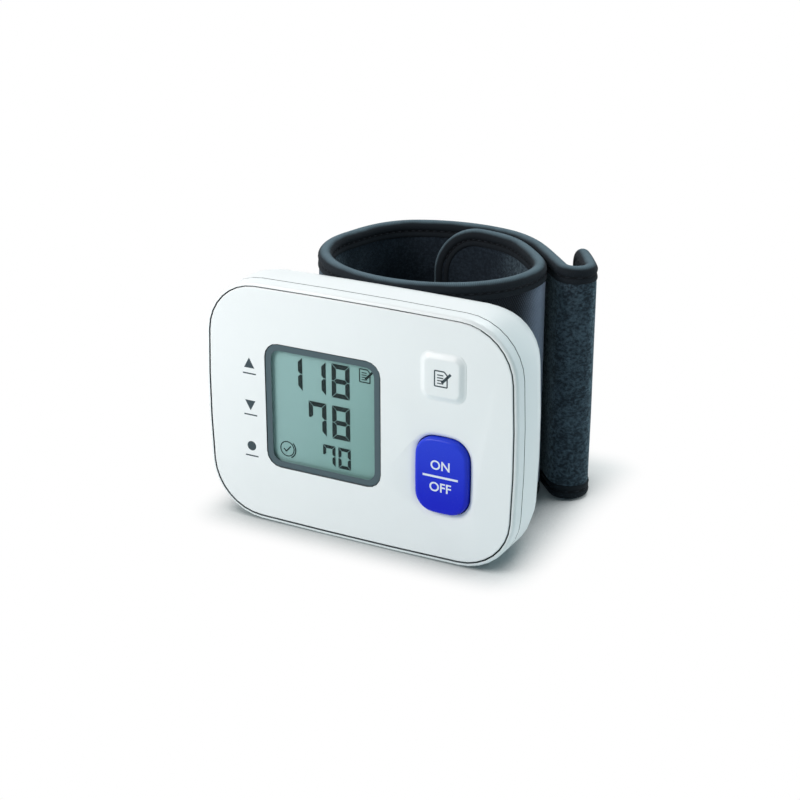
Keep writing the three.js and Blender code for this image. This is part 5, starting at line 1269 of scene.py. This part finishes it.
def tape_finish():
    """Woven tape: fine slanted ribs across it, matt, with a painted highlight along the fold and painted shade
    along the stitches.
    """
    finish = new_finish("woven_tape")
    place, run, depth = cloth_coordinates(finish)
    twill = run.math("SINE", run * (2 * np.pi / twill_pitch) + depth * (2 * np.pi / twill_rise))
    fuzz = finish.noise(place, 0.3 * mm, detail=4.0, roughness=0.7)
    cloud = finish.noise(place, 8 * mm, detail=3.0)
    # Painted highlight: the tape is paler along the crest of its fold.
    painted_crest_highlight = 1 - finish.ramp(depth + (cloud - 0.5) * 0.6 * mm, -0.1 * mm, 0.8 * mm)
    from_stitches = (depth - stitch_depth).math("ABSOLUTE", depth - stitch_depth)
    # Painted shade: the tape darkens along the line of the stitches.
    painted_stitch_shade = 1 - finish.ramp(from_stitches, 0.15 * mm, 0.5 * mm)
    tone = finish.mixed(painted_crest_highlight, colour(22, 28, 34), colour(100, 120, 131))
    tone = finish.mixed(
        0.6 + finish.ramp(twill + (fuzz - 0.5) * 1.6, -0.9, 0.6) * 0.4, colour(20, 27, 33), tone
    )
    tone = finish.mixed(painted_stitch_shade * 0.8, tone, colour(6, 10, 15))
    return finish.surface(
        Base_Color=tone,
        Roughness=0.8 + (fuzz - 0.5) * 0.15,
        Normal=finish.bump(twill * 0.3 + fuzz, 0.07 * mm),
        Sheen_Weight=0.05,
        Sheen_Roughness=0.3,
        Sheen_Tint=colour(196, 216, 226),
        Specular_IOR_Level=0.15,
    )


def thread_finish():
    """Twisted polyester thread, nearly black."""
    finish = new_finish("stitching_thread")
    twist = finish.noise(finish.place(), 0.12 * mm, detail=2.0)
    tone = finish.mixed(twist, colour(8, 12, 17), colour(28, 37, 46))
    return finish.surface(
        Base_Color=tone,
        Roughness=0.55 + twist * 0.2,
        Normal=finish.bump(twist, 0.03 * mm),
        Specular_IOR_Level=0.2,
    )


woven_tape = tape_finish()
stitching_thread = thread_finish()
inner_line = edge_line(stations_between(0, front_middle), 0.0, inner_end_corner, -1)
outer_line = edge_line(stations_between(front_middle, cuff_length), cuff_length, outer_end_corner, 1)
for side_name, line, bend, hidden in (
    ("right", inner_line, bend_with_inner_end, ("binding_inner_end", "binding_loop_top")),
    ("left", outer_line, bend_with_outer_end, ("binding_outer_end", "binding_loop_bottom")),
):
    tape = put_in_scene(f"edge_tape_{side_name}", tape_mesh(f"edge_tape_{side_name}", line), woven_tape)
    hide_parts(*hidden)
    bend(tape)
    stitches = put_in_scene(
        f"stitches_{side_name}", stitch_mesh(f"stitches_{side_name}", line), stitching_thread
    )
    bend(stitches)


# Bladder
# The flat air bag inside the cuff, between the springy band and the lining: two rubber sheets
# welded along their rim.

bladder_layer = (-0.95 * mm, -0.3 * mm)
bladder_margin = 6.4 * mm
bladder_inset = 4.5 * mm


def bladder_finish():
    finish = new_finish("bladder_rubber")
    cloud = finish.noise(finish.place(), 0.6 * mm, detail=3.0)
    tone = finish.mixed(cloud, colour(46, 58, 68), colour(60, 74, 86))
    return finish.surface(Base_Color=tone, Roughness=0.5 + cloud * 0.2, Normal=finish.bump(cloud, 0.03 * mm))


bladder_stations = stations_between(inner_hinge + bladder_inset, outer_hinge - bladder_inset)
bladder_low = np.full(len(bladder_stations), bladder_margin)
bladder_sections, bladder_pattern = cloth_sections(
    bladder_stations, bladder_low, cuff_height - bladder_low, *bladder_layer
)
bladder = put_in_scene(
    "air_bladder",
    carry_pattern(ring_mesh("air_bladder", bladder_sections), bladder_pattern),
    bladder_finish(),
)
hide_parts("cuff_bladder")
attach(bladder, "housing")


# Everything inside the case
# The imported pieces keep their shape, with their round stretches shaded smooth. Each takes the finish of its
# own material: plated steel, copper wire, plastics, rubber or green board.


def metal_finish(name, base, roughness=0.3, grain=(0.05 * mm, 0.4 * mm, 0.4 * mm)):
    """Drawn or plated metal: fine streaks along it and a faint stain."""
    finish = new_finish(name)
    place = finish.place()
    stretched = finish.vector("DIVIDE", place, grain)
    streak = finish.node("ShaderNodeTexNoise", {}, {"Vector": stretched, "Scale": 1.0, "Detail": 3.0})
    stain = finish.noise(place, 5 * mm)
    dull = tuple(channel * 0.8 for channel in base[:3]) + (1.0,)
    return finish.surface(
        Base_Color=finish.mixed(stain, dull, base), Metallic=1.0, Roughness=roughness + (streak - 0.5) * 0.2,
        Normal=finish.bump(streak, 0.006 * mm),
    )


def board_finish():
    """Green solder mask with paler tracks under it."""
    finish = new_finish("board_green")
    place = finish.place()
    turned = finish.node("ShaderNodeMapping", {}, {"Vector": place, "Rotation": (np.pi / 2, 0, 0)})
    tracks = finish.node(
        "ShaderNodeTexBrick", {}, {"Vector": turned, "Scale": 1 / (6 * mm), "Mortar Size": 0.03}, output="Fac"
    )
    cloud = finish.noise(place, 1.5 * mm)
    tone = finish.mixed(tracks, colour(24, 92, 58), colour(52, 128, 84))
    return finish.surface(
        Base_Color=tone, Roughness=0.35 + cloud * 0.2, Normal=finish.bump(tracks, 0.02 * mm)
    )


def strip_finish():
    """Striped elastomer: alternate dark and pale layers."""
    finish = new_finish("striped_elastomer")
    across = finish.node("ShaderNodeSeparateXYZ", {}, [finish.place()], output="X")
    stripes = across.math("SINE", across * (2 * np.pi / (0.18 * mm)))
    tone = finish.mixed(finish.ramp(stripes, -0.3, 0.3), colour(40, 34, 36), colour(226, 176, 186))
    return finish.surface(Base_Color=tone, Roughness=0.7)


cell_band = (9.8 * mm, 10.2 * mm)


def cell_finish():
    """A plain wrapped cell: dark sleeve with a copper coloured band at one end."""
    finish = new_finish("cell_wrap")
    place = finish.place()
    height = finish.node("ShaderNodeSeparateXYZ", {}, [place], output="Z")
    band = finish.ramp(height, face_height + cell_band[0], face_height + cell_band[1])
    scuff = finish.noise(place, 2 * mm, detail=3.0)
    tone = finish.mixed(band, colour(34, 36, 40), colour(190, 128, 62))
    return finish.surface(Base_Color=tone, Metallic=0.6, Roughness=0.3 + scuff * 0.2)


SLOT_FINISHES = {
    "steel": metal_finish("plated_steel", colour(186, 190, 194)),
    "coil_copper": metal_finish("coil_copper", colour(184, 102, 62), 0.4, (0.4 * mm, 0.4 * mm, 0.1 * mm)),
    "dark_plastic": plastic_finish("dark_plastic", colour(44, 48, 52), 0.5),
    "pale_plastic": plastic_finish("pale_plastic", colour(226, 224, 212), 0.45),
    "elastomer": strip_finish(),
    "board_green": board_finish(),
    "cell": cell_finish(),
    "red_rubber": plastic_finish("red_rubber", colour(128, 48, 38), 0.75, relief=0.03 * mm),
    "black_rubber": plastic_finish("black_rubber", colour(36, 40, 43), 0.75, relief=0.03 * mm),
    "hose": plastic_finish("milky_hose", colour(222, 222, 214), 0.4, relief=0.01 * mm),
    "case_white": case_white,
}
for part in frame["record"]["subparts"]:
    node, slot = part["node"], part["material_slot"]
    if slot in SLOT_FINISHES and not frame["nodes"][node].hide_render:
        smooth_copy(node, f"{slot}_{node}", SLOT_FINISHES[slot])
